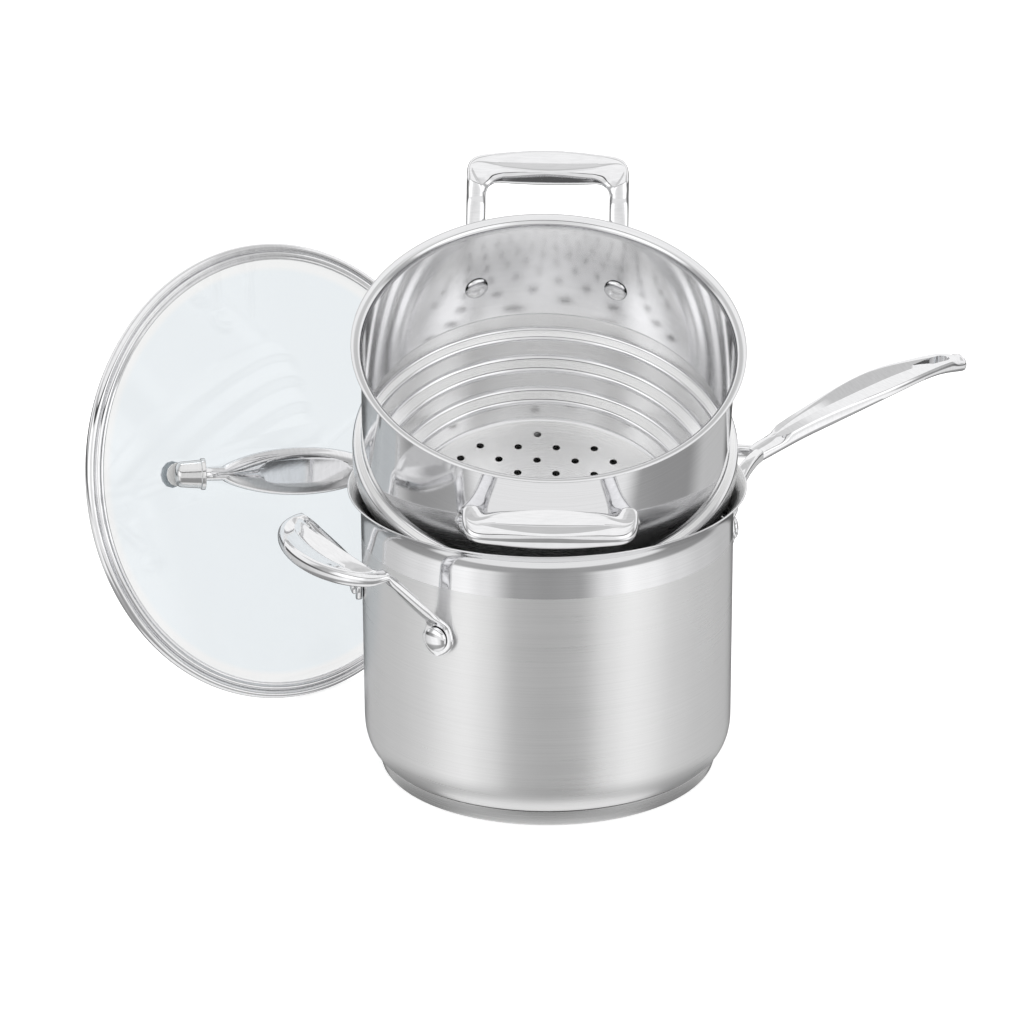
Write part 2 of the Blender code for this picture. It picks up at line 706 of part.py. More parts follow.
def steamer_grip(wall_radius):
    """Half of the square-shouldered grip, from the knee to the middle. Its corners lie in the legs' slope."""
    inner_half = STEAMER_GRIP_WIDTH / 2 - STEAMER_LEG_WIDTH
    outer_half = STEAMER_GRIP_WIDTH / 2
    pivot = inner_half - STEAMER_INNER_CORNER
    reach = STEAMER_INNER_CORNER + STEAMER_GRIP_DEPTH
    inner_edge = STEAMER_GRIP_REACH - STEAMER_GRIP_DEPTH
    root_height = RIVET_HEAD_RADIUS + HEAD_CLEARANCE - STEAMER_PAD_DEPTH
    slope = Vector((inner_edge - pad_face(wall_radius), 0, -root_height)).normalized()
    leg_normal = Vector((-slope.z, 0, slope.x))

    def place(side, distance):
        """A point at a distance from the knee, up the slope as far as the grip and then level."""
        climb = min(distance, STEAMER_INNER_CORNER) - STEAMER_INNER_CORNER
        level = max(distance - STEAMER_INNER_CORNER, 0)
        return Vector((inner_edge + level, side, 0)) + slope * climb

    edges = []
    for turn in STEAMER_CORNER_TURNS:
        side, rise = math.cos(turn), math.sin(turn)
        span = ((side / (outer_half - pivot)) ** STEAMER_OUTER_SQUARENESS
                + (rise / reach) ** STEAMER_OUTER_SQUARENESS) ** (-1 / STEAMER_OUTER_SQUARENESS)
        edges.append((place(pivot + STEAMER_INNER_CORNER * side, STEAMER_INNER_CORNER * rise),
                      place(pivot + span * side, span * rise), rise))
    for share in (1.0, 0.5, 0.0):
        edges.append((place(pivot * share, STEAMER_INNER_CORNER), place(pivot * share, reach), 1.0))
    stations = []
    for inner, outer, turned_share in edges:
        swell = 1 - ((inner.y + outer.y) / 2 / outer_half) ** 2
        half_thickness = (STEAMER_LEG_THICKNESS + (STEAMER_SWELL - STEAMER_LEG_THICKNESS) * swell) / 2
        normal = leg_normal.lerp(Vector((0, 0, 1)), turned_share ** 2)
        stations.append(facet_station(inner, outer, half_thickness, STEAMER_GRIP_TOP,
                                      STEAMER_FACET_DEPTH, normal))
    return stations


def build_steamer():
    frame = add_frame("steamer_frame", (STEAMER_PLACE_X, STEAMER_PLACE_Y, steamer_rest_height()),
                      (STEAMER_LEAN, STEAMER_ROLL, STEAMER_TURN))
    outline = steamer_outside() + steamer_inside()[::-1]
    shell = add_object("steamer_shell", turned(outline[::-1], ROUND_SEGMENTS),
                       steel_material("steamer_steel", 0.15), frame)
    holes = bmesh.new()
    floor = -steamer_floor_depth()
    for x, y in floor_hole_places():
        add_to(holes, cylinder(HOLE_RADIUS, floor - HOLE_RADIUS, floor + HOLE_RADIUS, HOLE_SIDES), (x, y, 0))
    apply_boolean(shell, add_cutter("floor_holes", holes, frame))

    wall_radius = STEAMER_RADIUS + STEAMER_WALL
    for name, side in (("front", -math.pi / 2), ("rear", math.pi / 2)):
        turn = side + STEAMER_HANDLE_TURN
        half = bow_stations(wall_radius, STEAMER_PAD_ANGLE, -STEAMER_PAD_DEPTH, STEAMER_LEG_WIDTH,
                            STEAMER_LEG_THICKNESS, steamer_grip(wall_radius))
        handle = add_object("steamer_handle_" + name, lofted(full_bow(half)),
                            steel_material("steamer_handle_steel_" + name, 0.1), frame,
                            rotation=(0, 0, turn))
        add_riveting(("steamer_rivet_" + name + "_left", "steamer_rivet_" + name + "_right"),
                     (turn + STEAMER_PAD_ANGLE, turn - STEAMER_PAD_ANGLE), -STEAMER_PAD_DEPTH,
                     wall_radius, STEAMER_WALL, (shell, handle), frame)


# Lid

def band_outline():
    """Section of the band, a channel rolled round the glass edge, open towards the middle."""
    top = BAND_RIM_HEIGHT
    mouth = LID_RADIUS - BAND_WIDTH
    edge = LID_RADIUS - BAND_EDGE_WIDTH
    outside = [(mouth, top + BAND_LIP_RISE), (edge, top)]
    outside += bend((LID_RADIUS - BAND_CROWN_WIDTH, top), (LID_RADIUS, top), (LID_RADIUS, 0), 3)
    outside += bend((LID_RADIUS, 0), (LID_RADIUS, -top), (edge, -top), 3)[1:]
    outside += [(LID_RADIUS - BAND_FOLD_WIDTH, -top)]
    return outside


def glass_edge():
    return LID_RADIUS - BAND_SHEET - GAP - GLASS_INSET


def glass_height(radius):
    """Height of the glass's upper face, a shallow dome that meets the band's upper lip."""
    return BAND_RIM_HEIGHT - BAND_SHEET - GAP + GLASS_RISE * (1 - (radius / glass_edge()) ** 2)


def build_lid_cover(frame):
    outside = band_outline()
    inside = offset_outline(outside, -BAND_SHEET)
    add_object("lid_rim_band", turned(outside + inside[::-1], ROUND_SEGMENTS),
               steel_material("band_steel", 0.12), frame)
    edge = glass_edge()
    lift = min(inside[0][1] - glass_height(inside[0][0]), 0) - GAP
    top = [(edge * share, glass_height(edge * share) + lift) for share in GLASS_SHARES]
    bottom = [(radius, height - GLASS_THICKNESS) for radius, height in top]
    bottom[-1] = (edge, max(bottom[-1][1], -BAND_RIM_HEIGHT + BAND_SHEET + GAP))
    glass = add_object("lid_glass", turned(top + bottom[::-1], ROUND_SEGMENTS),
                       make_material("lid_glass_clear", GLASS, 0.02, 0.0), frame)
    return glass, lift


def lid_rest_height():
    """Height of the lid's centre when its band stands on the ground."""
    return max(radius * math.cos(LID_BACK_LEAN) - height * math.sin(LID_BACK_LEAN)
               for radius, height in band_outline())


def ferrule_shape():
    """The thimble along +Z: closed rounded foot at the bottom, flanged mouth at the top."""
    foot = bend((0, 0), (FERRULE_FOOT_RADIUS, 0), (FERRULE_FOOT_RADIUS, FERRULE_FOOT_HEIGHT), 3)
    length = FERRULE_LENGTH
    outline = foot + [(FERRULE_MOUTH_RADIUS, length - FERRULE_FLANGE_WIDTH),
                      (FERRULE_FLANGE_RADIUS, length - FERRULE_FLANGE_WIDTH),
                      (FERRULE_FLANGE_RADIUS, length), (FERRULE_BORE_RADIUS, length),
                      (FERRULE_BORE_RADIUS, length - FERRULE_BORE_DEPTH),
                      (0, length - FERRULE_BORE_DEPTH)]
    return turned(outline, FERRULE_SEGMENTS)


def lid_grip_stations(foot, along):
    """Half of the lid's grip: the neck inside a ferrule, then its rise to the middle of the lens."""
    mouth = foot + along * FERRULE_LENGTH
    stations = []
    clear = mouth + along * NECK_CLEARANCE
    bow = [mouth - along * NECK_INSERT]
    bow += [Vector(place) for place in
            bend(tuple(clear), tuple(clear + along * NECK_LEAD), (0, 0, clear.z + LENS_LIFT),
                 2 * CURVE_STEPS)]
    for index, point in enumerate(bow):
        run = bow[min(index + 1, len(bow) - 1)] - bow[max(index - 1, 0)]
        if index == len(bow) - 1:
            run = Vector((-1, 0, 0))
        normal = Vector((run.z, 0, -run.x)).normalized()
        lens = max(1 - (abs(point.x) / (LENS_LENGTH / 2)) ** 2, 0) ** LENS_FULLNESS
        half_width = NECK_RADIUS + (LENS_WIDTH / 2 - NECK_RADIUS) * lens
        half_thickness = NECK_RADIUS + (LENS_THICKNESS / 2 - NECK_RADIUS) * lens
        stations.append(Station(point, Vector((0, half_width, 0)), normal * half_thickness,
                                LENS_SQUARENESS, LENS_DISH * smooth_step(lens * 2 - 1)))
    return stations


def build_lid():
    place = (LID_PLACE_X, LID_PLACE_Y, lid_rest_height())
    frame = add_frame("lid_frame", place, (math.pi / 2 - LID_BACK_LEAN, 0, LID_TURN))
    glass, lift = build_lid_cover(frame)
    grip_frame = add_frame("lid_handle_frame", (0, 0, 0), (0, 0, LID_HANDLE_TURN))
    grip_frame.parent = frame

    glass_top = glass_height(LID_FOOT_SPREAD) + lift
    glass_slope = glass_height(LID_FOOT_SPREAD - GASKET_RADIUS) + lift - glass_top
    gasket_bottom = glass_top + glass_slope + GAP
    seat = gasket_bottom + GASKET_THICKNESS + GAP
    along = Vector((-math.sin(FERRULE_SLOPE), 0, math.cos(FERRULE_SLOPE)))
    bend_centre = Vector((LID_FOOT_SPREAD, 0, seat + FERRULE_FOOT_RADIUS - FERRULE_SINK))
    foot = bend_centre - along * FERRULE_FOOT_HEIGHT

    stations = lid_grip_stations(foot, along)
    add_object("lid_handle", lofted(stations + mirrored(stations, Vector((-1, 1, 1)))[1:]),
               steel_material("lid_handle_steel", 0.08), grip_frame)

    for name, side in (("left", -1), ("right", 1)):
        x = LID_FOOT_SPREAD * side
        below = glass_height(LID_FOOT_SPREAD + LID_WASHER_RADIUS) + lift - GLASS_THICKNESS - GAP
        washer_bottom = below - LID_WASHER_THICKNESS
        ferrule = add_object("lid_ferrule_" + name, ferrule_shape(),
                             steel_material("lid_ferrule_steel_" + name, 0.2), grip_frame,
                             (foot.x * side, 0, foot.z), (0, -FERRULE_SLOPE * side, 0))
        block = bmesh.new()
        bmesh.ops.create_cube(block, size=2 * CUT_OVERRUN)
        apply_boolean(ferrule, add_cutter("foot_cut_" + name, block, grip_frame, (x, 0, seat - CUT_OVERRUN)))
        bolt_hole = add_cutter("screw_hole_" + name,
                               cylinder(SCREW_RADIUS + GAP, -CUT_OVERRUN, seat + SCREW_REACH + GAP),
                               grip_frame, (x, 0, 0))
        apply_boolean(ferrule, bolt_hole)
        glass_hole = add_cutter("glass_hole_" + name,
                                cylinder(GLASS_HOLE_RADIUS, -CUT_OVERRUN, CUT_OVERRUN), grip_frame, (x, 0, 0))
        apply_boolean(glass, glass_hole)
        ring = [(SCREW_RADIUS + GAP, 0), (GASKET_RADIUS, 0), (GASKET_RADIUS, GASKET_THICKNESS),
                (SCREW_RADIUS + GAP, GASKET_THICKNESS)]
        add_object("lid_gasket_" + name, turned(ring, SMALL_SEGMENTS),
                   make_material("gasket_silicone_" + name, SILICONE, 0.6, 0.0), grip_frame,
                   (x, 0, gasket_bottom))
        ring = [(SCREW_RADIUS + GAP, 0), (LID_WASHER_RADIUS, 0), (LID_WASHER_RADIUS, LID_WASHER_THICKNESS),
                (SCREW_RADIUS + GAP, LID_WASHER_THICKNESS)]
        add_object("lid_washer_" + name, turned(ring, SMALL_SEGMENTS),
                   steel_material("lid_washer_steel_" + name, 0.3), grip_frame, (x, 0, washer_bottom))
        head_top = washer_bottom - GAP
        screw = [(0, head_top - SCREW_HEAD_HEIGHT), (SCREW_CROWN_RADIUS, head_top - SCREW_HEAD_HEIGHT),
                 (SCREW_HEAD_RADIUS, head_top - SCREW_HEAD_HEIGHT / 2), (SCREW_HEAD_RADIUS, head_top),
                 (SCREW_RADIUS, head_top), (SCREW_RADIUS, seat + SCREW_REACH), (0, seat + SCREW_REACH)]
        add_object("lid_screw_" + name, turned(screw, SMALL_SEGMENTS),
                   steel_material("lid_screw_steel_" + name, 0.25), grip_frame, (x, 0, 0))


clear_scene()
saucepan = build_pan(steel_material("saucepan_steel", 0.3, SATIN))
build_base()
build_long_handle(saucepan)
build_helper_handle(saucepan)
build_steamer()
build_lid()
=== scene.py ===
# Dressed scene of the saucepan with its steamer and glass lid, in the CAD's frame, in metres.

import math
from math import cos, pi, radians, sin, tau
import bmesh
import bpy
from mathutils import Euler, Matrix, Vector


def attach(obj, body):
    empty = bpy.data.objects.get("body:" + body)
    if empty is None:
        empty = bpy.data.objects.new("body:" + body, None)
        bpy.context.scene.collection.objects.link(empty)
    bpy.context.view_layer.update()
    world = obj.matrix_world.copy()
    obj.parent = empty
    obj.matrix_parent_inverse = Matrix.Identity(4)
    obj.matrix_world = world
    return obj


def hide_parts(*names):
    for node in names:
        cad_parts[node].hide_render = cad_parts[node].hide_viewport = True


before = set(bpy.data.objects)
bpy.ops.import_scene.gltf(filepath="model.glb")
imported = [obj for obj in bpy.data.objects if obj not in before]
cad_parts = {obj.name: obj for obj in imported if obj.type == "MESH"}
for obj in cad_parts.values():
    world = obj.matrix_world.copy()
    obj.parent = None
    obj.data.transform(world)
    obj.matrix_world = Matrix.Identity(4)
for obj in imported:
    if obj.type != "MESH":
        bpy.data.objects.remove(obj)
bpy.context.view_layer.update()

# Sides of a turned body, and the clearance between pieces that are fixed together
ROUND, GAP = 200, 0.0003

# Saucepan
PAN_RADIUS, PAN_HEIGHT, PAN_WALL, RIM_RADIUS = 0.101, 0.1605, 0.0009, 0.1079
FLARE_DEPTH, FLARE_CURL, CORNER_TOP, CORNER_BULGE = 0.014, 0.0045, 0.028, 0.0054
CREVICE_RADIUS, CREVICE_HEIGHT, UNDERSIDE = 0.095, 0.010, 0.0083
POLISH_START, POLISH_EDGE = 0.1345, 0.0002
BASE_RADIUS, BASE_BEVEL = 0.0920, 0.0008
CAPSULE_TOP_RADIUS, CAPSULE_HEIGHT, CAPSULE_WALL = 0.0943, 0.0091, 0.0008
GROOVE_START, GROOVE_SIDE, GROOVE_END, GROOVE_DEPTH = 0.030, 0.0005, 0.032, 0.0002

# Rivets and the pads that they hold
RIVET_HEAD_RADIUS, RIVET_HEAD_HEIGHT, RIVET_SHANK, RIVET_INNER = 0.0067, 0.0030, 0.0030, 0.0022
RIVET_EDGE, RIVET_STEPS, RIVET_SIDES = 0.0006, 10, 40
PAD_RADIUS, PAD_THICKNESS, PAD_SQUARE, HEAD_CLEARANCE = 0.0098, 0.0034, 3.4, 0.0008
PAD_DEGREES, ROOT_SHARE = (8, 20, 35, 50, 65, 80, 90), 0.74
LONG_PAD_ANGLE, LONG_PAD_HEIGHT = radians(15.5), 0.1250
HELPER_PAD_ANGLE, HELPER_PAD_HEIGHT = radians(26), 0.1065
STEAMER_PAD_ANGLE, STEAMER_PAD_DEPTH = radians(22.9), 0.0430

# Steamer: the depths are below its rim
STEAMER_WALL, STEAMER_RADIUS, STEAMER_RIM_RADIUS, STEAMER_LIP = 0.0007, 0.0985, 0.1044, 0.0060
WALL_DEPTH, SEAT_RADIUS, SEAT_TOP, SEAT_BOTTOM = 0.0689, 0.1036, 0.0717, 0.0836
STEP_COUNT, STEP_RADIUS, STEP_DEPTH, STEP_ROUNDING = 3, 0.0981, 0.0866, 0.0018
STEP_DRAFT, STEP_RISE, STEP_TREAD, STEP_FALL = 0.0015, 0.0118, 0.0070, 0.0046
HOLE_COLUMN, HOLE_ROW, HOLE_FIELD, HOLE_RADIUS = 0.0213, 0.0103, 0.068, 0.00215
HOLE_SHIFT, HOLE_SIDES, HOLE_LOW, HOLE_HIGH = 0.0037, 20, -0.1352, -0.1272
HOLE_ROWS, HOLE_COLUMNS = range(-7, 7), range(-5, 5)
STEAMER_HANDLES = (("front", -pi / 2 + radians(0.8)), ("rear", pi / 2 + radians(0.8)))

# Lid
LID_RADIUS, BAND_SHEET, BAND_HALF, BAND_COVER = 0.1295, 0.0008, 0.0030, 0.0092
GLASS_THICKNESS, GLASS_EDGE, GLASS_CROWN, GLASS_FALL, GLASS_LOW = 0.0040, 0.1264, 0.0061, 0.0045, -0.0019
GLASS_STEPS, GLASS_HOLE, BOLT_RADIUS = 16, 0.003, 0.0023
LID_FOOT_SPREAD, FERRULE_SLOPE, FERRULE_LENGTH = 0.0735, radians(62), 0.0175
FERRULE_SEAT, BOLT_END, FERRULE_SIDES = 0.0064356, 0.0043, 48
FERRULE_FOOT = Vector((0.0779147, 0, 0.0092883))
FERRULE_AXIS = Vector((-sin(FERRULE_SLOPE), 0, cos(FERRULE_SLOPE)))

# Where the steamer leans and the lid stands
STEAMER_PLACE = (Matrix.Translation((-0.0105, -0.0204, 0.248717))
                 @ Euler((radians(23.5), radians(1.675), radians(-30))).to_matrix().to_4x4())
LID_PLACE = (Matrix.Translation((-0.0752, 0.1758, 0.124652))
             @ Euler((pi / 2 - radians(15.95), 0, radians(10.74))).to_matrix().to_4x4())
GRIP_PLACE = LID_PLACE @ Matrix.Rotation(radians(-12), 4, "Z")


# Materials

class Tree:
    """The nodes of a material or world, each made, set and linked in one call."""

    def __init__(self, owner):
        owner.use_nodes = True
        self.nodes, self.links = owner.node_tree.nodes, owner.node_tree.links

    def feed(self, socket, value):
        if isinstance(value, bpy.types.NodeSocket):
            self.links.new(value, socket)
        else:
            socket.default_value = value

    def fill(self, node, inputs):
        for name, value in inputs.items():
            self.feed(node.inputs[name], value)
        return node

    def node(self, kind, inputs={}, **settings):
        made = self.nodes.new("ShaderNode" + kind)
        for name, value in settings.items():
            setattr(made, name, value)
        return self.fill(made, inputs)

    def math(self, operation, first, second=0.5, third=0.5):
        return self.node("Math", {0: first, 1: second, 2: third}, operation=operation).outputs[0]

    def ranged(self, value, low, high, start=0.0, end=1.0, shape="LINEAR"):
        """The value from start to end, spread from low to high."""
        inputs = {"Value": value, "From Min": start, "From Max": end, "To Min": low, "To Max": high}
        return self.node("MapRange", inputs, interpolation_type=shape).outputs[0]

    def mixed(self, factor, first, second):
        """A colour between two, or a grey between two numbers."""
        first, second = ((v, v, v, 1) if isinstance(v, float) else v for v in (first, second))
        inputs = {"Factor": factor, "A": first, "B": second}
        return self.node("Mix", inputs, data_type="RGBA").outputs["Result"]

    def shaded_colour(self, factor, colour, shade):
        """The colour, darkened by shade where the factor is 0."""
        return self.mixed(factor, tuple(channel * shade for channel in colour) + (1.0,), colour + (1.0,))

    def mixed_shader(self, factor, first, second):
        return self.node("MixShader", {0: factor, 1: first, 2: second}).outputs[0]

    def surface(self, shader):
        self.feed(self.nodes["Material Output"].inputs["Surface"], shader)

    def noise(self, place, scale, detail, stretch=None):
        if stretch:
            place = self.node("Mapping", {"Vector": place, "Scale": stretch}).outputs[0]
        return self.node("TexNoise", {"Vector": place, "Scale": scale, "Detail": detail}).outputs["Fac"]

    def object_place(self):
        return self.node("TexCoord").outputs["Object"]

    def from_axis(self, place):
        """The three parts of a place and its distance from the Z axis."""
        parts = self.node("SeparateXYZ", {0: place}).outputs
        flat = self.node("CombineXYZ", {0: parts[0], 1: parts[1]}).outputs[0]
        return parts, self.node("VectorMath", {0: flat}, operation="LENGTH").outputs["Value"]


def new_material(name):
    material = bpy.data.materials.new(name)
    tree = Tree(material)
    return material, tree, tree.nodes["Principled BSDF"]


# Scale of the lines that brushing leaves along X, Y and Z, or on a lathe along the radius, the turn and Z
FINE_BRUSHED, BRUSHED, TURNED, FAINT_LINES = (12, 12, 2600), (12, 12, 2200), (2200, 6, 2200), (900, 140, 420)
LATHE_SWIRL, LINE_SHARE, CLOUD_SCALE, LINE_TINT, LINE_DEPTH = 0.002, 0.6, 18.0, 0.93, 0.0001
NOISE_LOW, NOISE_HIGH, BRUSHED_TURN = 0.3, 0.7, 0.25


def steel(name, colour, roughness, scratch=0.0, grain=None, anisotropy=0.0, smudge=0.03, metallic=1.0):
    """Stainless steel. scratch is how deep its lines are, smudge how far its roughness varies."""
    material, tree, shader = new_material(name)
    place = line_place = tree.object_place()
    looks = {"Metallic": metallic}
    if anisotropy:
        tangent = tree.node("Tangent", direction_type="RADIAL", axis="Z").outputs[0]
        looks |= {"Anisotropic": anisotropy, "Anisotropic Rotation": BRUSHED_TURN, "Tangent": tangent}
    if grain == TURNED:
        parts, distance = tree.from_axis(place)
        swirl = tree.math("MULTIPLY", tree.math("ARCTAN2", parts[0], parts[1]), LATHE_SWIRL)
        line_place = tree.node("CombineXYZ", {0: distance, 1: swirl, 2: parts[2]}).outputs[0]
    wear = tree.noise(place, CLOUD_SCALE, 3)
    if grain:
        lines = tree.noise(line_place, 1.0, 4, grain)
        wear = tree.math("MULTIPLY_ADD", lines, LINE_SHARE, tree.math("MULTIPLY", wear, 1 - LINE_SHARE))
    else:
        lines = tree.noise(place, 1.0, 3, FAINT_LINES)
    looks["Roughness"] = tree.ranged(wear, max(roughness - smudge, 0.0), roughness + smudge,
                                     NOISE_LOW, NOISE_HIGH)
    looks["Base Color"] = tree.shaded_colour(tree.ranged(lines, 0.0, 1.0, NOISE_LOW, NOISE_HIGH),
                                             colour, LINE_TINT)
    if scratch:
        bump = {"Strength": scratch, "Distance": LINE_DEPTH, "Height": lines}
        looks["Normal"] = tree.node("Bump", bump).outputs[0]
    tree.fill(shader, looks)
    return material


def plain(name, colour, roughness, metallic=0.0):
    """A moulded or plain rolled material with a faint cloudy variation."""
    material, tree, shader = new_material(name)
    cloud = tree.noise(tree.object_place(), 400.0, 4.0)
    tree.fill(shader, {"Metallic": metallic, "Base Color": tree.shaded_colour(cloud, colour, 0.9),
                       "Roughness": tree.ranged(cloud, roughness - 0.05, roughness + 0.05)})
    return material


def clear_glass():
    """Faintly blue glass, paler towards its edge, that lets light through to what lies behind it."""
    material, tree, shader = new_material("clear_glass")
    place = tree.object_place()
    distance = tree.from_axis(place)[1]
    tint = tree.mixed(tree.ranged(distance, 0.0, 1.0, 0.1135, 0.1165),
                      (0.855, 0.895, 0.92, 1.0), (0.91, 0.915, 0.915, 1.0))
    tree.fill(shader, {"Transmission Weight": 1.0, "IOR": 1.5, "Base Color": tint,
                       "Roughness": tree.ranged(tree.noise(place, 30.0, 2.0), 0.0, 0.02)})
    clear = tree.node("BsdfTransparent", {"Color": tint}).outputs[0]
    shadow = tree.node("LightPath").outputs["Is Shadow Ray"]
    tree.surface(tree.mixed_shader(shadow, shader.outputs[0], clear))
    return material


satin = steel("satin_steel", (0.90, 0.90, 0.90), 0.30, 0.25, FINE_BRUSHED, 0.75, 0.04)
polished = steel("polished_steel", (0.90, 0.90, 0.91), 0.03, smudge=0.02)
inner_wall = steel("inner_wall_steel", (0.98, 0.98, 0.99), 0.10, 0.08, BRUSHED, 0.3, 0.02)
polished_wall = steel("polished_wall_steel", (0.86, 0.86, 0.87), 0.07, 0.03, BRUSHED, smudge=0.02)
turned_steel = steel("turned_steel", (0.96, 0.96, 0.96), 0.20, 0.30, TURNED, 0.6, 0.05)
ledge_steel = steel("ledge_steel", (0.97, 0.97, 0.97), 0.24, 0.30, TURNED, 0.5, 0.05)
# The pan's inside is the same sheet as its outside, brushed. Its darker, partly matte steel is painted shade
# for the shadowed interior.
pan_inside_painted_shade = steel("pan_inside_steel_painted_shade", (0.70, 0.70, 0.70), 0.26, 0.25, BRUSHED, 0.5, 0.05, 0.75)
base_side = steel("base_side_steel", (0.70, 0.70, 0.70), 0.26, 0.25, FINE_BRUSHED, 0.6, 0.04)
ferrule_steel = steel("ferrule_steel", (0.80, 0.80, 0.80), 0.16, 0.10, TURNED, smudge=0.04)
fastener_steel = steel("fastener_steel", (0.95, 0.95, 0.95), 0.60, 0.1, smudge=0.05)
washer_steel = steel("washer_steel", (0.90, 0.91, 0.92), 0.55, 0.1, metallic=0.25)
aluminium = plain("core_aluminium", (0.70, 0.71, 0.72), 0.4, 1.0)
silicone = plain("silicone", (0.92, 0.92, 0.91), 0.5)
glass = clear_glass()


# Curves and outlines

def bend(start, control, end, steps):
    """Points of a curve from start to end, drawn towards control."""
    points = []
    for index in range(steps + 1):
        t = index / steps
        weights = ((1 - t) ** 2, 2 * t * (1 - t), t ** 2)
        points.append(tuple(sum(w * p[axis] for w, p in zip(weights, (start, control, end)))
                            for axis in range(len(start))))
    return points


def offset_outline(points, distance):
    """The outline moved sideways by a sheet's thickness, points on the axis kept there."""
    moved = []
    for index, point in enumerate(points):
        normals = []
        for first, second in ((index - 1, index), (index, index + 1)):
            if first < 0 or second >= len(points):
                continue
            run = (Vector(points[second]) - Vector(points[first])).normalized()
            normals.append(Vector((-run.y, run.x)))
        mitre = sum(normals, Vector((0, 0))).normalized()
        place = Vector(point) + mitre * distance / max(mitre.dot(normals[0]), 0.3)
        moved.append((place.x if point[0] > 0 else 0.0, place.y))
    return moved


def rounded(points, radius, steps=5):
    """The outline with each inner corner turned into a small curve."""
    out = [points[0]]
    for before, corner, after in zip(points, points[1:], points[2:]):
        reach = min(radius, math.dist(before, corner) * 0.45, math.dist(after, corner) * 0.45)
        first = tuple(c + (b - c) * reach / math.dist(before, corner) for b, c in zip(before, corner))
        last = tuple(c + (a - c) * reach / math.dist(after, corner) for a, c in zip(after, corner))
        out += bend(first, corner, last, steps)
    return out + [points[-1]]


def lip(outside_end, inside_end, steps=5):
    """Half round end of a sheet between its two faces."""
    start = Vector(outside_end)
    centre = (start + Vector(inside_end)) / 2
    arm = start - centre
    return [tuple(centre + Matrix.Rotation(pi * index / steps, 2) @ arm) for index in range(1, steps)]


def smooth_step(value):
    value = min(max(value, 0.0), 1.0)
    return value * value * (3 - 2 * value)


def spline_value(stops, place):
    """Value at a place on a smooth curve through (place, value) stops."""
    if place <= stops[0][0]:
        return stops[0][1]
    if place >= stops[-1][0]:
        return stops[-1][1]
    for index in range(len(stops) - 1):
        left, right = stops[index], stops[index + 1]
        if place <= right[0]:
            break
    before = stops[max(index - 1, 0)]
    after = stops[min(index + 2, len(stops) - 1)]
    span = right[0] - left[0]
    slope_left = (right[1] - before[1]) / (right[0] - before[0]) * span
    slope_right = (after[1] - left[1]) / (after[0] - left[0]) * span
    t = (place - left[0]) / span
    return ((2 * t ** 3 - 3 * t ** 2 + 1) * left[1] + (t ** 3 - 2 * t ** 2 + t) * slope_left
            + (-2 * t ** 3 + 3 * t ** 2) * right[1] + (t ** 3 - t ** 2) * slope_right)


def squared(share, squareness):
    """A sine or cosine on the way round a section, for an oval (2) up to nearly a box."""
    return math.copysign(abs(share) ** (2 / squareness), share)


# Pieces

FRAME = Matrix.Identity(4)


def add_item(name, data):
    item = bpy.data.objects.new(name, data)
    bpy.context.scene.collection.objects.link(item)
    return item


def shaded(mesh, sharp):
    mesh.shade_smooth()
    mesh.set_sharp_from_angle(angle=radians(sharp))


def add_piece(name, verts, faces, materials, place=FRAME, sharp=40, slots=None):
    mesh = bpy.data.meshes.new(name)
    mesh.from_pydata([tuple(v) for v in verts], [], faces)
    if slots:
        mesh.polygons.foreach_set("material_index", slots)
    shape = bmesh.new()
    shape.from_mesh(mesh)
    bmesh.ops.recalc_face_normals(shape, faces=shape.faces)
    shape.to_mesh(mesh)
    shape.free()
    shaded(mesh, sharp)
    for material in materials:
        mesh.materials.append(material)
    item = add_item(name, mesh)
    item.matrix_world = place
    return item


def spun(name, outline, materials, place=FRAME, segments=ROUND, slots=None):
    """A body turned from (radius, height) points, closed on the axis or into a ring."""
    verts, rows = [], []
    for radius, height in outline:
        if radius < 1e-7:
            rows.append([len(verts)])
            verts.append((0, 0, height))
        else:
            rows.append(list(range(len(verts), len(verts) + segments)))
            verts += [(radius * cos(tau * k / segments), radius * sin(tau * k / segments),
                       height) for k in range(segments)]
    faces, face_slots = [], []
    for row in list(range(len(rows) - 1)) + ([-1] if outline[0][0] > 1e-7 else []):
        low, high = rows[row], rows[row + 1]
        for k in range(segments):
            following = (k + 1) % segments
            if len(low) == 1:
                faces.append((low[0], high[k], high[following]))
            elif len(high) == 1:
                faces.append((low[k], low[following], high[0]))
            else:
                faces.append((low[k], low[following], high[following], high[k]))
            face_slots.append(slots[row] if slots else 0)
    return add_piece(name, verts, faces, materials, place, slots=face_slots if slots else None)


def tube(rows, count, start=0):
    """Faces over rows of count corners numbered from start, closed at both ends."""
    last = start + (rows - 1) * count
    faces = [(row + k, row + (k + 1) % count, row + count + (k + 1) % count, row + count + k)
             for row in range(start, last, count) for k in range(count)]
    return faces + [tuple(range(start, start + count))[::-1], tuple(range(last, last + count))]


def prism(outline, low, high, start=0):
    """Corners and faces of an upright body over (x, y) points, numbered from start."""
    verts = [(x, y, height) for height in (low, high) for x, y in outline]
    return verts, tube(2, len(outline), start)


def settle(item, cutters, operation="DIFFERENCE", sharp=40):
    """Uses the cutters up on the piece."""
    for cutter in cutters:
        cut = item.modifiers.new(cutter.name, "BOOLEAN")
        cut.operation = operation
        cut.solver = "EXACT"
        cut.object = cutter
    bpy.context.view_layer.update()
    mesh = bpy.data.meshes.new_from_object(item.evaluated_get(bpy.context.evaluated_depsgraph_get()))
    item.modifiers.clear()
    old = item.data
    item.data = mesh
    mesh.name = item.name
    bpy.data.meshes.remove(old)
    for cutter in cutters:
        bpy.data.objects.remove(cutter)
    shaded(mesh, sharp)


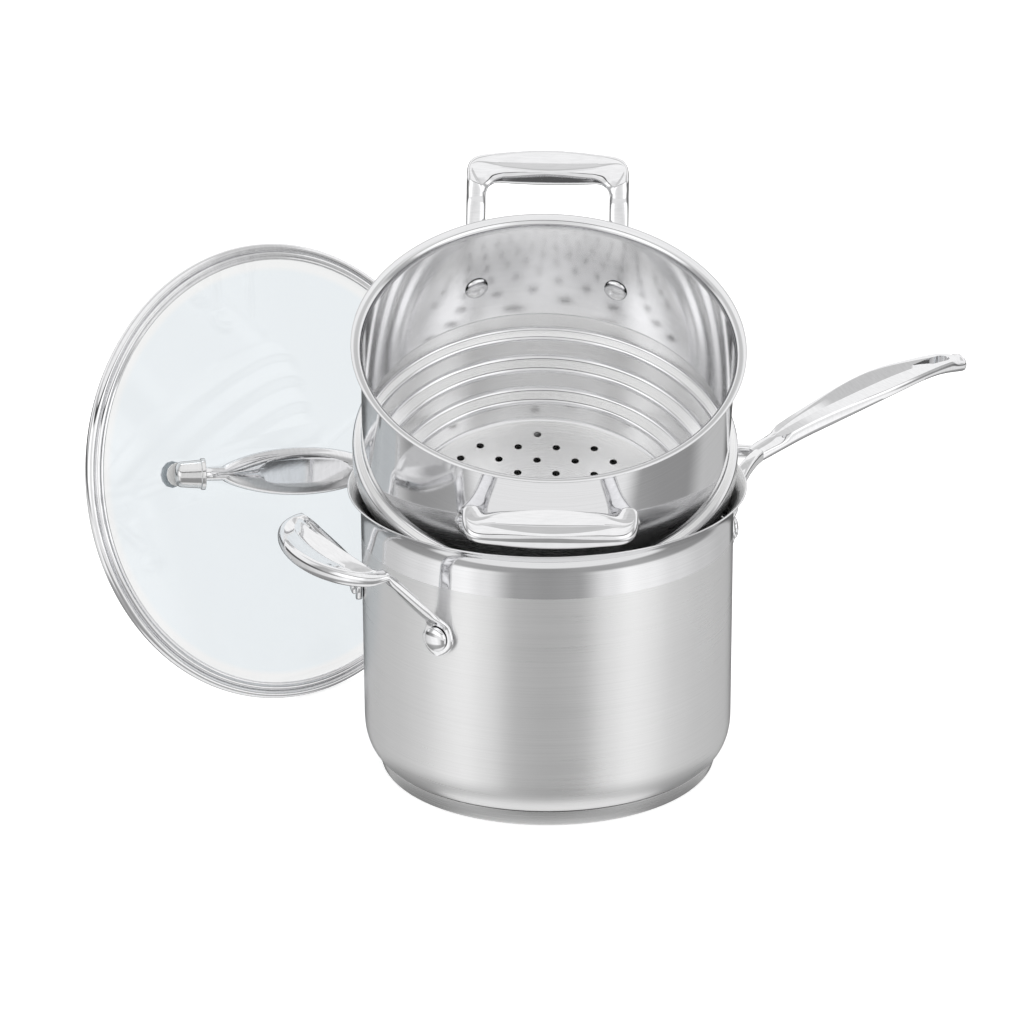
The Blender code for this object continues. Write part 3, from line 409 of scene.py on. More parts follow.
def catmull(keys, count):
    """Stations interpolated smoothly, count steps between each pair of keys."""
    out = []
    for index in range(len(keys) - 1):
        p0, p1 = keys[max(index - 1, 0)], keys[index]
        p2, p3 = keys[index + 1], keys[min(index + 2, len(keys) - 1)]
        for step in range(count):
            t = step / count
            out.append(tuple(
                0.5 * ((b * 2) + (c - a) * t + (a * 2 - b * 5 + c * 4 - d) * t * t
                       + (b * 3 - a - c * 3 + d) * t ** 3)
                for a, b, c, d in zip(p0, p1, p2, p3)))
    out.append(keys[-1])
    return out


def skinned(name, rings, place=FRAME, sharp=50):
    """A closed body over rings of equally many points."""
    verts = [point for points in rings for point in points]
    return add_piece(name, verts, tube(len(rings), len(rings[0])), [polished], place, sharp)


def lofted(name, stations, place=FRAME, sides=36):
    """A closed body over stations of (centre, across, through, squareness)."""
    turns = [tau * (k + 0.5) / sides for k in range(sides)]
    rings = [[centre + across * squared(cos(turn), squareness)
              + through * squared(sin(turn), squareness) for turn in turns]
             for centre, across, through, squareness in stations]
    return skinned(name, rings, place, 45)


def egg(name, length, width, depth, place):
    """A long flattened round, to dish a face with."""
    stations = []
    for index in range(41):
        x = -1 + index / 20
        share = max(1 - x * x, 0.0004) ** 0.5
        stations.append((Vector((x * length / 2, 0, 0)), Vector((0, width / 2 * share, 0)),
                         Vector((0, 0, depth * share)), 2.0))
    return lofted(name, stations, place, 32)


def dress(piece, body, node):
    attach(piece, body)
    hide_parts(node)


def coat(node, material):
    """A material for a CAD node that is shown as it is."""
    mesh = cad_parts[node].data
    mesh.materials.clear()
    mesh.materials.append(material)


# Sections of the handles: points of a flank and of the underside, and the small bevel along a crease. An oval
# has one point more than a facet profile, and blending the two keeps the facet profile's number.
FLANK_POINTS, UNDERSIDE_POINTS, BEVEL = 9, 18, 0.00018
OVAL_POINTS, FLANK_TURN, DISH_STEPS = 2 * FLANK_POINTS + 17, radians(72), 4
GRIP_SQUARE, GRIP_UNDERSIDE = 2.6, 2.4


def oval_profile(squareness):
    """Upper side of a plain section, from its outer to its inner edge, as (across, height)."""
    turns = [pi * k / (OVAL_POINTS - 1) for k in range(OVAL_POINTS)]
    return [(squared(cos(turn), squareness), abs(squared(sin(turn), squareness))) for turn in turns]


def flank(edge, mark):
    """Rounded side from the widest line up to the facet's mark, that meets the facet in a crease."""
    points = []
    for k in range(FLANK_POINTS):
        turn = FLANK_TURN * k / (FLANK_POINTS - 1)
        run = (1 - cos(turn)) / (1 - cos(FLANK_TURN))
        points.append((edge + (mark - edge) * run, sin(turn) / sin(FLANK_TURN)))
    return points


def facet_profile(outer, inner, dish_outer, dish_inner, keel, depth, bevel):
    """Upper side with a flat facet between two marks and a keeled dish in it."""
    def dish_side(start):
        return [(start + (keel - start) * k / DISH_STEPS, 1 - depth * k / DISH_STEPS)
                for k in range(DISH_STEPS)]

    points = flank(1, outer)
    points += [(outer - bevel, 1), ((outer + dish_outer) / 2, 1), (dish_outer + bevel, 1)]
    points += dish_side(dish_outer) + [(keel + bevel, 1 - depth * 0.97)]
    points += [(keel, 1 - depth)] + dish_side(dish_inner)[::-1]
    points += [(dish_inner - bevel, 1), ((inner + dish_inner) / 2, 1), (inner + bevel, 1)]
    return points + flank(-1, inner)[::-1]


def blended(first, second, share):
    return [tuple(a + (b - a) * share for a, b in zip(one, two)) for one, two in zip(first, second)]


def ring(centre, across, normal, height, drop, profile, squareness):
    """Points round a section: its upper side by the profile, its underside as an oval."""
    points = [centre + across * t + normal * height * h for t, h in profile]
    for k in range(1, UNDERSIDE_POINTS):
        turn = pi * k / UNDERSIDE_POINTS
        points.append(centre + across * squared(-cos(turn), squareness)
                      - normal * drop * squared(sin(turn), squareness))
    return points


def facet_station(inner, outer, half_thickness, top, facet_depth, profile, normal=Vector((0, 0, 1))):
    """A section of a grip between two edges, its facet at one height all along."""
    rise = min(half_thickness, facet_depth)
    across = (outer - inner) / 2
    through = (normal - across * normal.dot(across) / across.length_squared).normalized()
    return ((inner + outer) / 2 + Vector((0, 0, top - rise)), across, through, rise, half_thickness, profile)


# Saucepan body and base

def build_saucepan():
    flare = bend((PAN_RADIUS, PAN_HEIGHT - FLARE_DEPTH), (PAN_RADIUS, PAN_HEIGHT - FLARE_CURL),
                 (RIM_RADIUS, PAN_HEIGHT), 14)
    corner = bend((CREVICE_RADIUS, CREVICE_HEIGHT), (PAN_RADIUS, CREVICE_HEIGHT + CORNER_BULGE),
                  (PAN_RADIUS, CORNER_TOP), 16)
    outside = rounded([(0, UNDERSIDE), (CREVICE_RADIUS - 0.005, UNDERSIDE)] + corner[:1], 0.001)[:-1]
    satin_rows = len(outside) + len(corner)
    outside += corner + [(PAN_RADIUS, POLISH_START), (PAN_RADIUS, POLISH_START + POLISH_EDGE)] + flare
    inside = offset_outline(outside, PAN_WALL)
    lip_rows = 4
    slots = [0] * (satin_rows + 1) + [1] * (len(outside) + lip_rows - satin_rows - 1)
    slots += [2] * (len(inside) - 1)
    # The inside of the pan takes the darker steel with painted shade.
    body = spun("pan_body", outside + lip(outside[-1], inside[-1], lip_rows + 1) + inside[::-1],
                [satin, polished_wall, pan_inside_painted_shade], slots=slots)
    dress(body, "saucepan", "saucepan_shell")


def build_base():
    edge = [(BASE_RADIUS, BASE_BEVEL), (CAPSULE_TOP_RADIUS, CAPSULE_HEIGHT)]
    inner_edge = [(BASE_RADIUS - CAPSULE_WALL, CAPSULE_WALL),
                  (CAPSULE_TOP_RADIUS - CAPSULE_WALL, CAPSULE_HEIGHT)]
    under = [(0, 0), (GROOVE_START, 0), (GROOVE_START + GROOVE_SIDE, GROOVE_DEPTH),
             (GROOVE_END - GROOVE_SIDE, GROOVE_DEPTH), (GROOVE_END, 0), (BASE_RADIUS - BASE_BEVEL, 0)]
    outline = under + rounded([under[-1]] + edge + [inner_edge[1]], 0.0006, 3)[1:-1]
    base = spun("pan_base", outline + inner_edge[::-1] + [(0, CAPSULE_WALL)], [base_side])
    dress(base, "saucepan", "base_capsule")
    coat("base_core", aluminium)


build_saucepan()
build_base()


# Rivets

def add_rivet(name, body, wall_radius, wall, angle, height, place=FRAME):
    def dome(base, rise):
        turns = [pi / 2 * k / RIVET_STEPS for k in range(RIVET_STEPS + 1)]
        points = [(RIVET_HEAD_RADIUS * cos(turn), base + rise * sin(turn)) for turn in turns]
        return points[:-1] + [(0, points[-1][1])]

    seat = wall_radius + GAP + PAD_THICKNESS + GAP
    inner = math.sqrt((wall_radius - wall - GAP) ** 2 - RIVET_HEAD_RADIUS ** 2)
    outline = dome(inner, -RIVET_INNER)[::-1] + [(RIVET_SHANK, inner), (RIVET_SHANK, seat)]
    outline += [(RIVET_HEAD_RADIUS, seat)] + dome(seat + RIVET_EDGE, RIVET_HEAD_HEIGHT - RIVET_EDGE)
    turn = Matrix.Translation((0, 0, height)) @ Euler((0, pi / 2, angle)).to_matrix().to_4x4()
    dress(spun("smooth_" + name, outline, [polished], place @ turn, RIVET_SIDES), body, name)


for name, angle, height in (("helper_rivet_near", pi + HELPER_PAD_ANGLE, HELPER_PAD_HEIGHT),
                            ("helper_rivet_far", pi - HELPER_PAD_ANGLE, HELPER_PAD_HEIGHT),
                            ("long_handle_rivet_near", -LONG_PAD_ANGLE, LONG_PAD_HEIGHT),
                            ("long_handle_rivet_far", LONG_PAD_ANGLE, LONG_PAD_HEIGHT)):
    add_rivet(name, "saucepan", PAN_RADIUS, PAN_WALL, angle, height)
for end, middle in STEAMER_HANDLES:
    for side, sign in (("left", 1), ("right", -1)):
        add_rivet("steamer_rivet_" + end + "_" + side, "steamer", STEAMER_RADIUS + STEAMER_WALL, STEAMER_WALL,
                  middle + sign * STEAMER_PAD_ANGLE, -STEAMER_PAD_DEPTH, STEAMER_PLACE)


# Steamer shell

def steamer_inside():
    points = [(STEAMER_RADIUS, -STEAMER_LIP), (STEAMER_RADIUS, -WALL_DEPTH),
              (SEAT_RADIUS, -SEAT_TOP), (SEAT_RADIUS, -SEAT_BOTTOM)]
    radius, depth = STEP_RADIUS, STEP_DEPTH
    for step in range(STEP_COUNT):
        points.append((radius, -depth))
        radius -= STEP_DRAFT
        depth += STEP_RISE
        points.append((radius, -depth))
        if step < STEP_COUNT - 1:
            radius -= STEP_TREAD
            depth += STEP_FALL
    points.append((0, -depth))
    rim = bend((STEAMER_RIM_RADIUS, 0), (STEAMER_RADIUS, 0), (STEAMER_RADIUS, -STEAMER_LIP), 10)
    return rim + rounded(points, STEP_ROUNDING, 6)[1:]


def steamer_slot(row, first, second, outside_rows):
    """Which of the steamer's five steels a row of its outline has."""
    middle = (first[1] + second[1]) / 2
    if middle > -WALL_DEPTH + 0.001:
        return 4 if row > outside_rows and middle < -STEAMER_LIP else 0
    if math.dist(first, second) < 0.0012:
        return 2
    return 3 if abs(first[0] - second[0]) > abs(first[1] - second[1]) else 1


def hole_cutter():
    verts, faces = [], []
    for row in HOLE_ROWS:
        for column in HOLE_COLUMNS:
            x, y = (column + 0.5 * (row % 2)) * HOLE_COLUMN, (row + 0.5) * HOLE_ROW
            if math.hypot(x, y) > HOLE_FIELD:
                continue
            turns = [tau * k / HOLE_SIDES for k in range(HOLE_SIDES)]
            outline = [(x - HOLE_SHIFT + HOLE_RADIUS * cos(turn), y + HOLE_RADIUS * sin(turn))
                       for turn in turns]
            more_verts, more_faces = prism(outline, HOLE_LOW, HOLE_HIGH, len(verts))
            verts += more_verts
            faces += more_faces
    return add_piece("hole_cutter", verts, faces, [turned_steel], STEAMER_PLACE)


def build_steamer():
    inside = steamer_inside()
    outside = offset_outline(inside, STEAMER_WALL)
    outline = outside[::-1] + lip(outside[0], inside[0]) + inside
    slots = [steamer_slot(row, first, second, len(outside))
             for row, (first, second) in enumerate(zip(outline, outline[1:]))]
    materials = [polished_wall, turned_steel, polished_wall, ledge_steel, inner_wall]
    body = spun("steamer_body", outline, materials, STEAMER_PLACE, slots=slots)
    settle(body, [hole_cutter()])
    dress(body, "steamer", "steamer_shell")


build_steamer()


# Bow handles

LEG_SHARES, LEG_STEPS, LEG_BLEND = (0.18, 0.36, 0.55, 0.72, 0.88), 4, 9


def pad_keys(wall_radius, angle, height):
    """Stations of a round pad against the wall, and the root of the leg above it."""
    outward = Vector((cos(angle), sin(angle), 0))
    across = Vector((-sin(angle), cos(angle), 0))
    through = -outward * PAD_THICKNESS / 2
    centre = outward * (wall_radius + GAP + PAD_THICKNESS / 2) + Vector((0, 0, height))
    keys = []
    for degrees in PAD_DEGREES:
        turn = radians(degrees)
        keys.append((centre + Vector((0, 0, -PAD_RADIUS * cos(turn))),
                     across * PAD_RADIUS * sin(turn), through, PAD_SQUARE))
    lift = Vector((0, 0, RIVET_HEAD_RADIUS + HEAD_CLEARANCE))
    return keys, (centre + lift, across * PAD_RADIUS * ROOT_SHARE, through, PAD_SQUARE)


def mirrored(stations, flip=Vector((1, -1, 1))):
    return [(centre * flip, across * flip, through * flip, squareness)
            for centre, across, through, squareness in reversed(stations)]


def bow(wall_radius, angle, height, leg_width, leg_thickness, grip):
    """Rings of a whole bow handle: pad, leg and the given half grip, then the same mirrored."""
    keys, root = pad_keys(wall_radius, angle, height)
    centre, across, normal, rise, drop, profile = grip[0]
    knee = (centre, across, normal * (rise + drop) / 2, PAD_SQUARE)
    slope = knee[0] - root[0]
    leg_normal = Vector((-slope.z, 0, slope.x)).normalized()
    legs = [root]
    for share in LEG_SHARES:
        side = root[1].normalized().lerp(knee[1].normalized(), share).normalized()
        thickness = PAD_THICKNESS + (leg_thickness - PAD_THICKNESS) * smooth_step(share * 2)
        legs.append((root[0].lerp(knee[0], share), side * leg_width / 2,
                     leg_normal * thickness / 2, PAD_SQUARE))
    stations = keys[:-1] + catmull([keys[-1]] + legs + [knee], LEG_STEPS)[:-1]
    oval = oval_profile(PAD_SQUARE)
    rings = []
    for index, (place, across, through, squareness) in enumerate(stations):
        share = smooth_step((index - len(stations) + LEG_BLEND) / LEG_BLEND)
        rings.append(ring(place, across, through.normalized(), through.length, through.length,
                          blended(oval, profile, share), squareness))
    for place, across, normal, rise, drop, profile in grip:
        rings.append(ring(place, across, normal, rise, drop, profile, GRIP_UNDERSIDE))
    flip = Vector((1, -1, 1))
    return rings + [[point * flip for point in points] for points in reversed(rings)][1:]


# Helper handle

HELPER_SPREAD, HELPER_LEG, HELPER_LEG_THICK, HELPER_TOP = 0.0465, 0.0098, 0.0050, 0.1517
HELPER_DEPTH, HELPER_REACH, HELPER_SWELL, HELPER_CORNER = 0.0255, 0.1535, 0.0140, 0.004
HELPER_FACET, HELPER_DISH, HELPER_STEPS = 0.0038, 0.0020, 32


def rim_profile(share, half_width, depth):
    """Section of a grip whose facet and dish keep close to its edges and close roundly at its ends."""
    facet = 0.86 * max(1 - abs(share) ** 4, 0.0) ** 0.5
    dish = 0.72 * max(1 - abs(share / 0.9) ** 4, 0.0) ** 0.5
    mark = max(facet, 0.05)
    hollow = max(min(dish, mark - 0.04), 0.02)
    return facet_profile(mark, -mark, hollow, -hollow, 0.0, depth * smooth_step(dish * 2),
                         min(BEVEL / half_width, 0.008))


def helper_grip():
    stations = []
    inner_half, outer_half = HELPER_SPREAD - HELPER_LEG / 2, HELPER_SPREAD + HELPER_LEG / 2
    start = HELPER_REACH - HELPER_DEPTH - HELPER_CORNER
    for step in range(HELPER_STEPS + 1):
        angle = pi / 2 * step / HELPER_STEPS
        inner = Vector((start + HELPER_CORNER * math.sqrt(sin(angle)), inner_half * cos(angle), 0))
        outer = Vector((start + (HELPER_DEPTH + HELPER_CORNER) * sin(angle),
                        outer_half * cos(angle), 0))
        share = (inner.y + outer.y) / 2 / outer_half
        half = (HELPER_LEG_THICK + (HELPER_SWELL - HELPER_LEG_THICK) * sin(angle)) / 2
        profile = rim_profile(share / 0.97, (outer - inner).length / 2, HELPER_DISH / HELPER_FACET)
        profile = blended(oval_profile(GRIP_SQUARE), profile, smooth_step((math.degrees(angle) - 6) / 30))
        stations.append(facet_station(inner, outer, half, HELPER_TOP, HELPER_FACET, profile))
    return stations


rings = bow(PAN_RADIUS, HELPER_PAD_ANGLE, HELPER_PAD_HEIGHT, HELPER_LEG, HELPER_LEG_THICK, helper_grip())
dress(skinned("helper_bow", rings, Matrix.Rotation(pi, 4, "Z")),
      "saucepan", "helper_handle")


# Steamer handles: a lens is (half length, half width), in plan

BOW_REACH, BOW_DEPTH, BOW_TOP, BOW_SWELL, BOW_FACET = 0.1515, 0.0215, 0.0068, 0.0160, 0.0043
BOW_WIDTH, BOW_LEG, BOW_LEG_THICK, BOW_CORNER = 0.0895, 0.0107, 0.0062, 0.0095
BOW_SQUARE, BOW_ARCH, BOW_DEGREES, BOW_STEPS, MARK_PASSES, MARK_GRID = 5.0, 0.0035, 3, 12, 10, 400
LENS_AXIS, LENS_FACET, LENS_DISH, LENS_SLOPE = 0.1406, (0.0425, 0.0094), (0.0395, 0.0079), 0.20


def lens_marks(inner, outer, spare, half_length, half_width):
    """Shares at which a section crosses a pointed lens, or a narrow place at spare."""
    middle, half = (inner + outer) / 2, (outer - inner) / 2
    inside = []
    for k in range(-MARK_GRID + 20, MARK_GRID - 19):
        place = middle + half * k / MARK_GRID
        if abs(place.x - LENS_AXIS) < half_width * (1 - (place.y / half_length) ** 2):
            inside.append(k / MARK_GRID)
    if len(inside) > 8:
        return inside[-1], inside[0]
    return spare + 0.012, spare - 0.012


def lens_section(inner, outer, turned_share):
    """Marks for facet_profile where a section crosses the lens facet and the keeled lens dish."""
    spare = 0.75 * smooth_step(turned_share / 0.75)
    half = (outer - inner).length / 2
    high, low = lens_marks(inner, outer, spare, *LENS_FACET)
    hollow_high, hollow_low = lens_marks(inner, outer, spare, *LENS_DISH)
    hollow_high = min(hollow_high, high - 0.006)
    hollow_low = max(hollow_low, low + 0.006)
    width = max(hollow_high - hollow_low, 0.004)
    hollow_high = hollow_low + width
    run = (outer - inner).x / 2
    keel = (LENS_AXIS - (inner + outer).x / 2) / run if abs(run) > 0.002 else (hollow_high + hollow_low) / 2
    keel = min(max(keel, hollow_low + width * 0.3), hollow_low + width * 0.7)
    return (high, low, hollow_high, hollow_low, keel, LENS_SLOPE * width / 2 * half / BOW_FACET,
            min(BEVEL / half, 0.003, width / 8))


def smoothed(rows, passes):
    """Rows of marks, each drawn towards its neighbours, the first and last kept."""
    for _ in range(passes):
        rows = [rows[0]] + [tuple((a + 2 * b + c) / 4 for a, b, c in zip(*three))
                            for three in zip(rows, rows[1:], rows[2:])] + [rows[-1]]
    return rows


def steamer_grip(wall_radius):
    inner_half, outer_half = BOW_WIDTH / 2 - BOW_LEG, BOW_WIDTH / 2
    pivot = inner_half - BOW_CORNER
    reach = BOW_CORNER + BOW_DEPTH
    inner_edge = BOW_REACH - BOW_DEPTH
    root_height = RIVET_HEAD_RADIUS + HEAD_CLEARANCE - STEAMER_PAD_DEPTH
    slope = Vector((inner_edge - wall_radius - GAP - PAD_THICKNESS, 0, -root_height)).normalized()
    leg_normal = Vector((-slope.z, 0, slope.x))

    def place(side, distance):
        climb = min(distance, BOW_CORNER) - BOW_CORNER
        return Vector((inner_edge + max(distance - BOW_CORNER, 0), side, 0)) + slope * climb

    edges = []
    for degrees in range(0, 88, BOW_DEGREES):
        side, rise = cos(radians(degrees)), sin(radians(degrees))
        span = ((side / (outer_half - pivot)) ** BOW_SQUARE
                + (rise / reach) ** BOW_SQUARE) ** (-1 / BOW_SQUARE)
        arch = BOW_ARCH * (min(pivot + span * side, outer_half) / outer_half) ** 2 * rise ** 2
        edges.append((place(pivot + BOW_CORNER * side, BOW_CORNER * rise),
                      place(pivot + span * side, span * rise - arch), rise))
    for step in range(BOW_STEPS, -1, -1):
        side = pivot * step / BOW_STEPS
        edges.append((place(side, BOW_CORNER), place(side, reach - BOW_ARCH * (side / outer_half) ** 2), 1.0))
    stations = []
    for (inner, outer, turned_share), marks in zip(edges, smoothed([lens_section(*row) for row in edges],
                                                                   MARK_PASSES)):
        swell = 1 - ((inner.y + outer.y) / 2 / outer_half) ** 2
        half = (BOW_LEG_THICK + (BOW_SWELL - BOW_LEG_THICK) * swell) / 2
        normal = leg_normal.lerp(Vector((0, 0, 1)), turned_share ** 2)
        profile = blended(oval_profile(GRIP_SQUARE), facet_profile(*marks),
                          smooth_step((turned_share - 0.2) / 0.6))
        stations.append(facet_station(inner, outer, half, BOW_TOP, BOW_FACET, profile, normal))
    return stations


wall = STEAMER_RADIUS + STEAMER_WALL
rings = bow(wall, STEAMER_PAD_ANGLE, -STEAMER_PAD_DEPTH, BOW_LEG, BOW_LEG_THICK, steamer_grip(wall))
for end, middle in STEAMER_HANDLES:
    place = STEAMER_PLACE @ Matrix.Rotation(middle, 4, "Z")
    dress(skinned("steamer_bow_" + end, rings, place), "steamer", "steamer_handle_" + end)


# Long handle: stops of its blade are (share of its length, size)

NECK, TIP, BLADE_STEPS, BLADE_SQUARE = 0.134, 0.2725, 72, 2.8
BLADE_TOP = ((0, 0.1565), (0.23, 0.1683), (0.585, 0.1812), (0.835, 0.1860), (1, 0.1868))
BLADE_WIDTH = ((0, 0.0132), (0.23, 0.0190), (0.585, 0.0296), (0.835, 0.0212), (1, 0.0130))
BLADE_THICK = ((0, 0.0080), (0.3, 0.0090), (0.585, 0.0066), (0.8, 0.0060), (1, 0.0094))
BLADE_END = ((0.0015, 0.95), (0.0005, 0.85), (0, 0.7))
CHANNEL_START, CHANNEL_END, CHANNEL_DEPTH, CHANNEL_RIM = 0.146, 0.268, 0.0030, 0.0016
FORK_KNEE, FORK_STEPS, FORK_WIDTH, FORK_HALF, FORK_SQUARE = (0.106, 0.0235, 0.1545), 20, 0.0090, 0.0035, 3.0
SLOT_START, SLOT_END, SLOT_RADIUS, SLOT_LOW, SLOT_HIGH = 0.238, 0.263, 0.0044, 0.165, 0.205


def along(stops, reach):
    return spline_value(stops, (reach - NECK) / (TIP - NECK))


def blade(reach, share=1.0):
    step = (TIP - NECK) / 100
    climb = along(BLADE_TOP, reach + step) - along(BLADE_TOP, reach - step)
    normal = Vector((-climb, 0, 2 * step)).normalized()
    thickness = along(BLADE_THICK, reach)
    centre = Vector((reach, 0, along(BLADE_TOP, reach))) - normal * thickness / 2
    return centre, Vector((0, along(BLADE_WIDTH, reach) / 2 * share, 0)), normal * thickness / 2 * share


def fork():
    """Stations of the left leg, from its pad to the blade's neck."""
    keys, root = pad_keys(PAN_RADIUS, LONG_PAD_ANGLE, LONG_PAD_HEIGHT)
    neck_width = BLADE_WIDTH[0][1]
    end = Vector((NECK, neck_width / 4, blade(NECK)[0].z))
    route = [Vector(place) for place in bend(root[0], FORK_KNEE, end, FORK_STEPS)]
    stations = keys[:-1] + catmull([keys[-1], root], LEG_STEPS)
    for index in range(1, len(route)):
        run = route[min(index + 1, len(route) - 1)] - route[index - 1]
        across = Vector((0, 0, 1)).cross(run).normalized()
        normal = run.cross(across).normalized()
        width = FORK_WIDTH + (neck_width / 2 - FORK_WIDTH) * index / (len(route) - 1)
        stations.append((route[index], across * width / 2, normal * FORK_HALF, FORK_SQUARE))
    return stations


def blade_ring(reach, share=1.0):
    centre, across, through = blade(reach, share)
    place = min(max((reach - CHANNEL_START) / (CHANNEL_END - CHANNEL_START), 0), 1)
    lens = max(1 - (2 * place - 1) ** 2, 0) ** 0.7
    facet = (1 - CHANNEL_RIM / (2 * across.length)) * (0.2 + 0.8 * smooth_step(lens * 3))
    hollow = max(facet * lens, 0.03)
    profile = facet_profile(facet, -facet, hollow * 0.92, -hollow * 0.16, hollow * 0.02,
                            CHANNEL_DEPTH * lens / through.length, BEVEL / across.length)
    profile = blended(oval_profile(GRIP_SQUARE), profile, smooth_step((reach - 0.138) / 0.012))
    return ring(centre, across, through.normalized(), through.length, through.length, profile, BLADE_SQUARE)


def build_long_handle():
    rings = [blade_ring(NECK - 0.003, 0.75)]
    rings += [blade_ring(NECK + (TIP - 0.003 - NECK) * k / BLADE_STEPS) for k in range(BLADE_STEPS + 1)]
    rings += [blade_ring(TIP - inset, share) for inset, share in BLADE_END]
    handle = skinned("long_blade", rings)
    left = fork()
    legs = [lofted("fork_left", left), lofted("fork_right", mirrored(left))]
    settle(handle, legs, "UNION")
    outline = []
    for centre, start in ((SLOT_END - SLOT_RADIUS, -pi / 2), (SLOT_START + SLOT_RADIUS, pi / 2)):
        turns = [start + pi * step / 12 for step in range(13)]
        outline += [(centre + SLOT_RADIUS * cos(turn), SLOT_RADIUS * sin(turn)) for turn in turns]
    slot = add_piece("slot", *prism(outline, SLOT_LOW, SLOT_HIGH), [polished])
    settle(handle, [slot], sharp=28)
    dress(handle, "saucepan", "long_handle")


build_long_handle()


# Lid

def band_outline():
    """Outside of the rolled band: its mouth, a convex flange, a groove, a bead and the outer curve."""
    top, mouth, edge = BAND_HALF, LID_RADIUS - BAND_COVER, LID_RADIUS
    points = [(mouth, top + 0.0003)]
    points += bend((mouth, top + 0.0005), (mouth + 0.0004, top + 0.0012), (mouth + 0.0013, top + 0.0006), 5)
    points += bend((mouth + 0.0016, top + 0.0005), (mouth + 0.0030, top + 0.0012), (edge - 0.0048, top), 6)
    points += [(edge - 0.0044, top - 0.0014), (edge - 0.0041, top - 0.0014)]
    points += bend((edge - 0.0040, top - 0.0004), (edge - 0.0030, top + 0.0008),
                   (edge - 0.0014, top - 0.0002), 7)
    points += bend((edge - 0.0014, top - 0.0002), (edge, top - 0.0010), (edge, 0), 7)[1:]
    points += bend((edge, 0), (edge, -top), (edge - 0.0030, -top), 8)[1:]
    return points + [(edge - 0.0060, -top)]


def foot_place(side):
    return GRIP_PLACE @ Matrix.Translation((LID_FOOT_SPREAD * side, 0, 0))


def build_band():
    outside = band_outline()
    inside = offset_outline(outside, -BAND_SHEET)
    outline = outside + lip(inside[-1], outside[-1], 4)[::-1]
    outline += inside[::-1] + lip(outside[0], inside[0], 4)[::-1]
    dress(spun("lid_band", outline, [polished], LID_PLACE), "lid", "lid_rim_band")


def build_glass():
    top = [(GLASS_EDGE * k / GLASS_STEPS, GLASS_CROWN - GLASS_FALL * (k / GLASS_STEPS) ** 2)
           for k in range(GLASS_STEPS + 1)]
    bottom = [(radius, height - GLASS_THICKNESS) for radius, height in top]
    bottom[-1] = (GLASS_EDGE, GLASS_LOW)
    pane = spun("lid_pane", top + bottom[::-1], [glass], LID_PLACE)
    bore = [(0, -0.02), (GLASS_HOLE, -0.02), (GLASS_HOLE, 0.03), (0, 0.03)]
    settle(pane, [spun("glass_hole", bore, [glass], foot_place(side), 24) for side in (-1, 1)])
    dress(pane, "lid", "lid_glass")


def cut_block():
    """Corners and faces of a block under the ferrule's seat on the glass."""
    square = [(-0.03, -0.03), (0.03, -0.03), (0.03, 0.03), (-0.03, 0.03)]
    return prism(square, FERRULE_SEAT - 0.06, FERRULE_SEAT)


def build_ferrule(name, side):
    foot = bend((0, 0), (0.0072, 0), (0.0072, 0.005), 8)
    rest = [foot[-1], (0.0080, 0.0151), (0.0088, 0.0151), (0.0088, FERRULE_LENGTH), (0.0050, FERRULE_LENGTH),
            (0.0050, 0.0075), (0, 0.0075)]
    place = (GRIP_PLACE @ Matrix.Translation((FERRULE_FOOT.x * side, 0, FERRULE_FOOT.z))
             @ Matrix.Rotation(-FERRULE_SLOPE * side, 4, "Y"))
    outline = foot + rounded(rest, 0.0005, 3)[1:]
    ferrule = spun("ferrule_" + name, outline, [ferrule_steel], place, FERRULE_SIDES)
    block = add_piece("foot_cut", *cut_block(), [polished], foot_place(side))
    end = FERRULE_SEAT + BOLT_END
    bolt = spun("bolt_cut", [(0, -0.02), (BOLT_RADIUS, -0.02), (BOLT_RADIUS, end), (0, end)], [ferrule_steel],
                foot_place(side), 24)
    settle(ferrule, [block, bolt])
    dress(ferrule, "lid", "lid_ferrule_" + name)
    coat("lid_gasket_" + name, silicone)
    coat("lid_washer_" + name, washer_steel)
    coat("lid_screw_" + name, fastener_steel)


LENS_LIFT, LENS_HALF, GRIP_LEAD, GRIP_STEPS = 0.0035, 0.052, 0.0080, 40
NECK_HALF, GRIP_HALF_WIDTH, GRIP_HALF_THICK, LID_GRIP_SQUARE = 0.0038, 0.0097, 0.0007, 2.2


def build_lid_grip():
    mouth = FERRULE_FOOT + FERRULE_AXIS * FERRULE_LENGTH
    clear = mouth + FERRULE_AXIS * 0.0010
    crown = (0, 0, clear.z + LENS_LIFT)
    line = [mouth - FERRULE_AXIS * 0.0070]
    curve = bend(clear, clear + FERRULE_AXIS * GRIP_LEAD, crown, GRIP_STEPS)
    line += [Vector(place) for place in curve]
    stations = []
    for index, point in enumerate(line):
        run = line[min(index + 1, len(line) - 1)] - line[max(index - 1, 0)]
        if index == len(line) - 1:
            run = Vector((-1, 0, 0))
        normal = Vector((run.z, 0, -run.x)).normalized()
        lens = max(1 - (abs(point.x) / LENS_HALF) ** 2, 0) ** 0.8
        stations.append((point, Vector((0, NECK_HALF + GRIP_HALF_WIDTH * lens, 0)),
                         normal * (NECK_HALF + GRIP_HALF_THICK * lens), LID_GRIP_SQUARE))
    grip = lofted("lid_grip", stations + mirrored(stations, Vector((-1, 1, 1)))[1:], GRIP_PLACE)
    dish_place = GRIP_PLACE @ Matrix.Translation((0, 0, crown[2] + 0.0058))
    settle(grip, [egg("dish", 0.087, 0.044, 0.0026, dish_place)])
    dress(grip, "lid", "lid_handle")


build_band()
build_glass()
build_ferrule("left", -1)
build_ferrule("right", 1)
build_lid_grip()


# Floor

FLOOR_REACH, FLOOR_WHITE, FLOOR_GLOW = 6, 0.9, 0.55


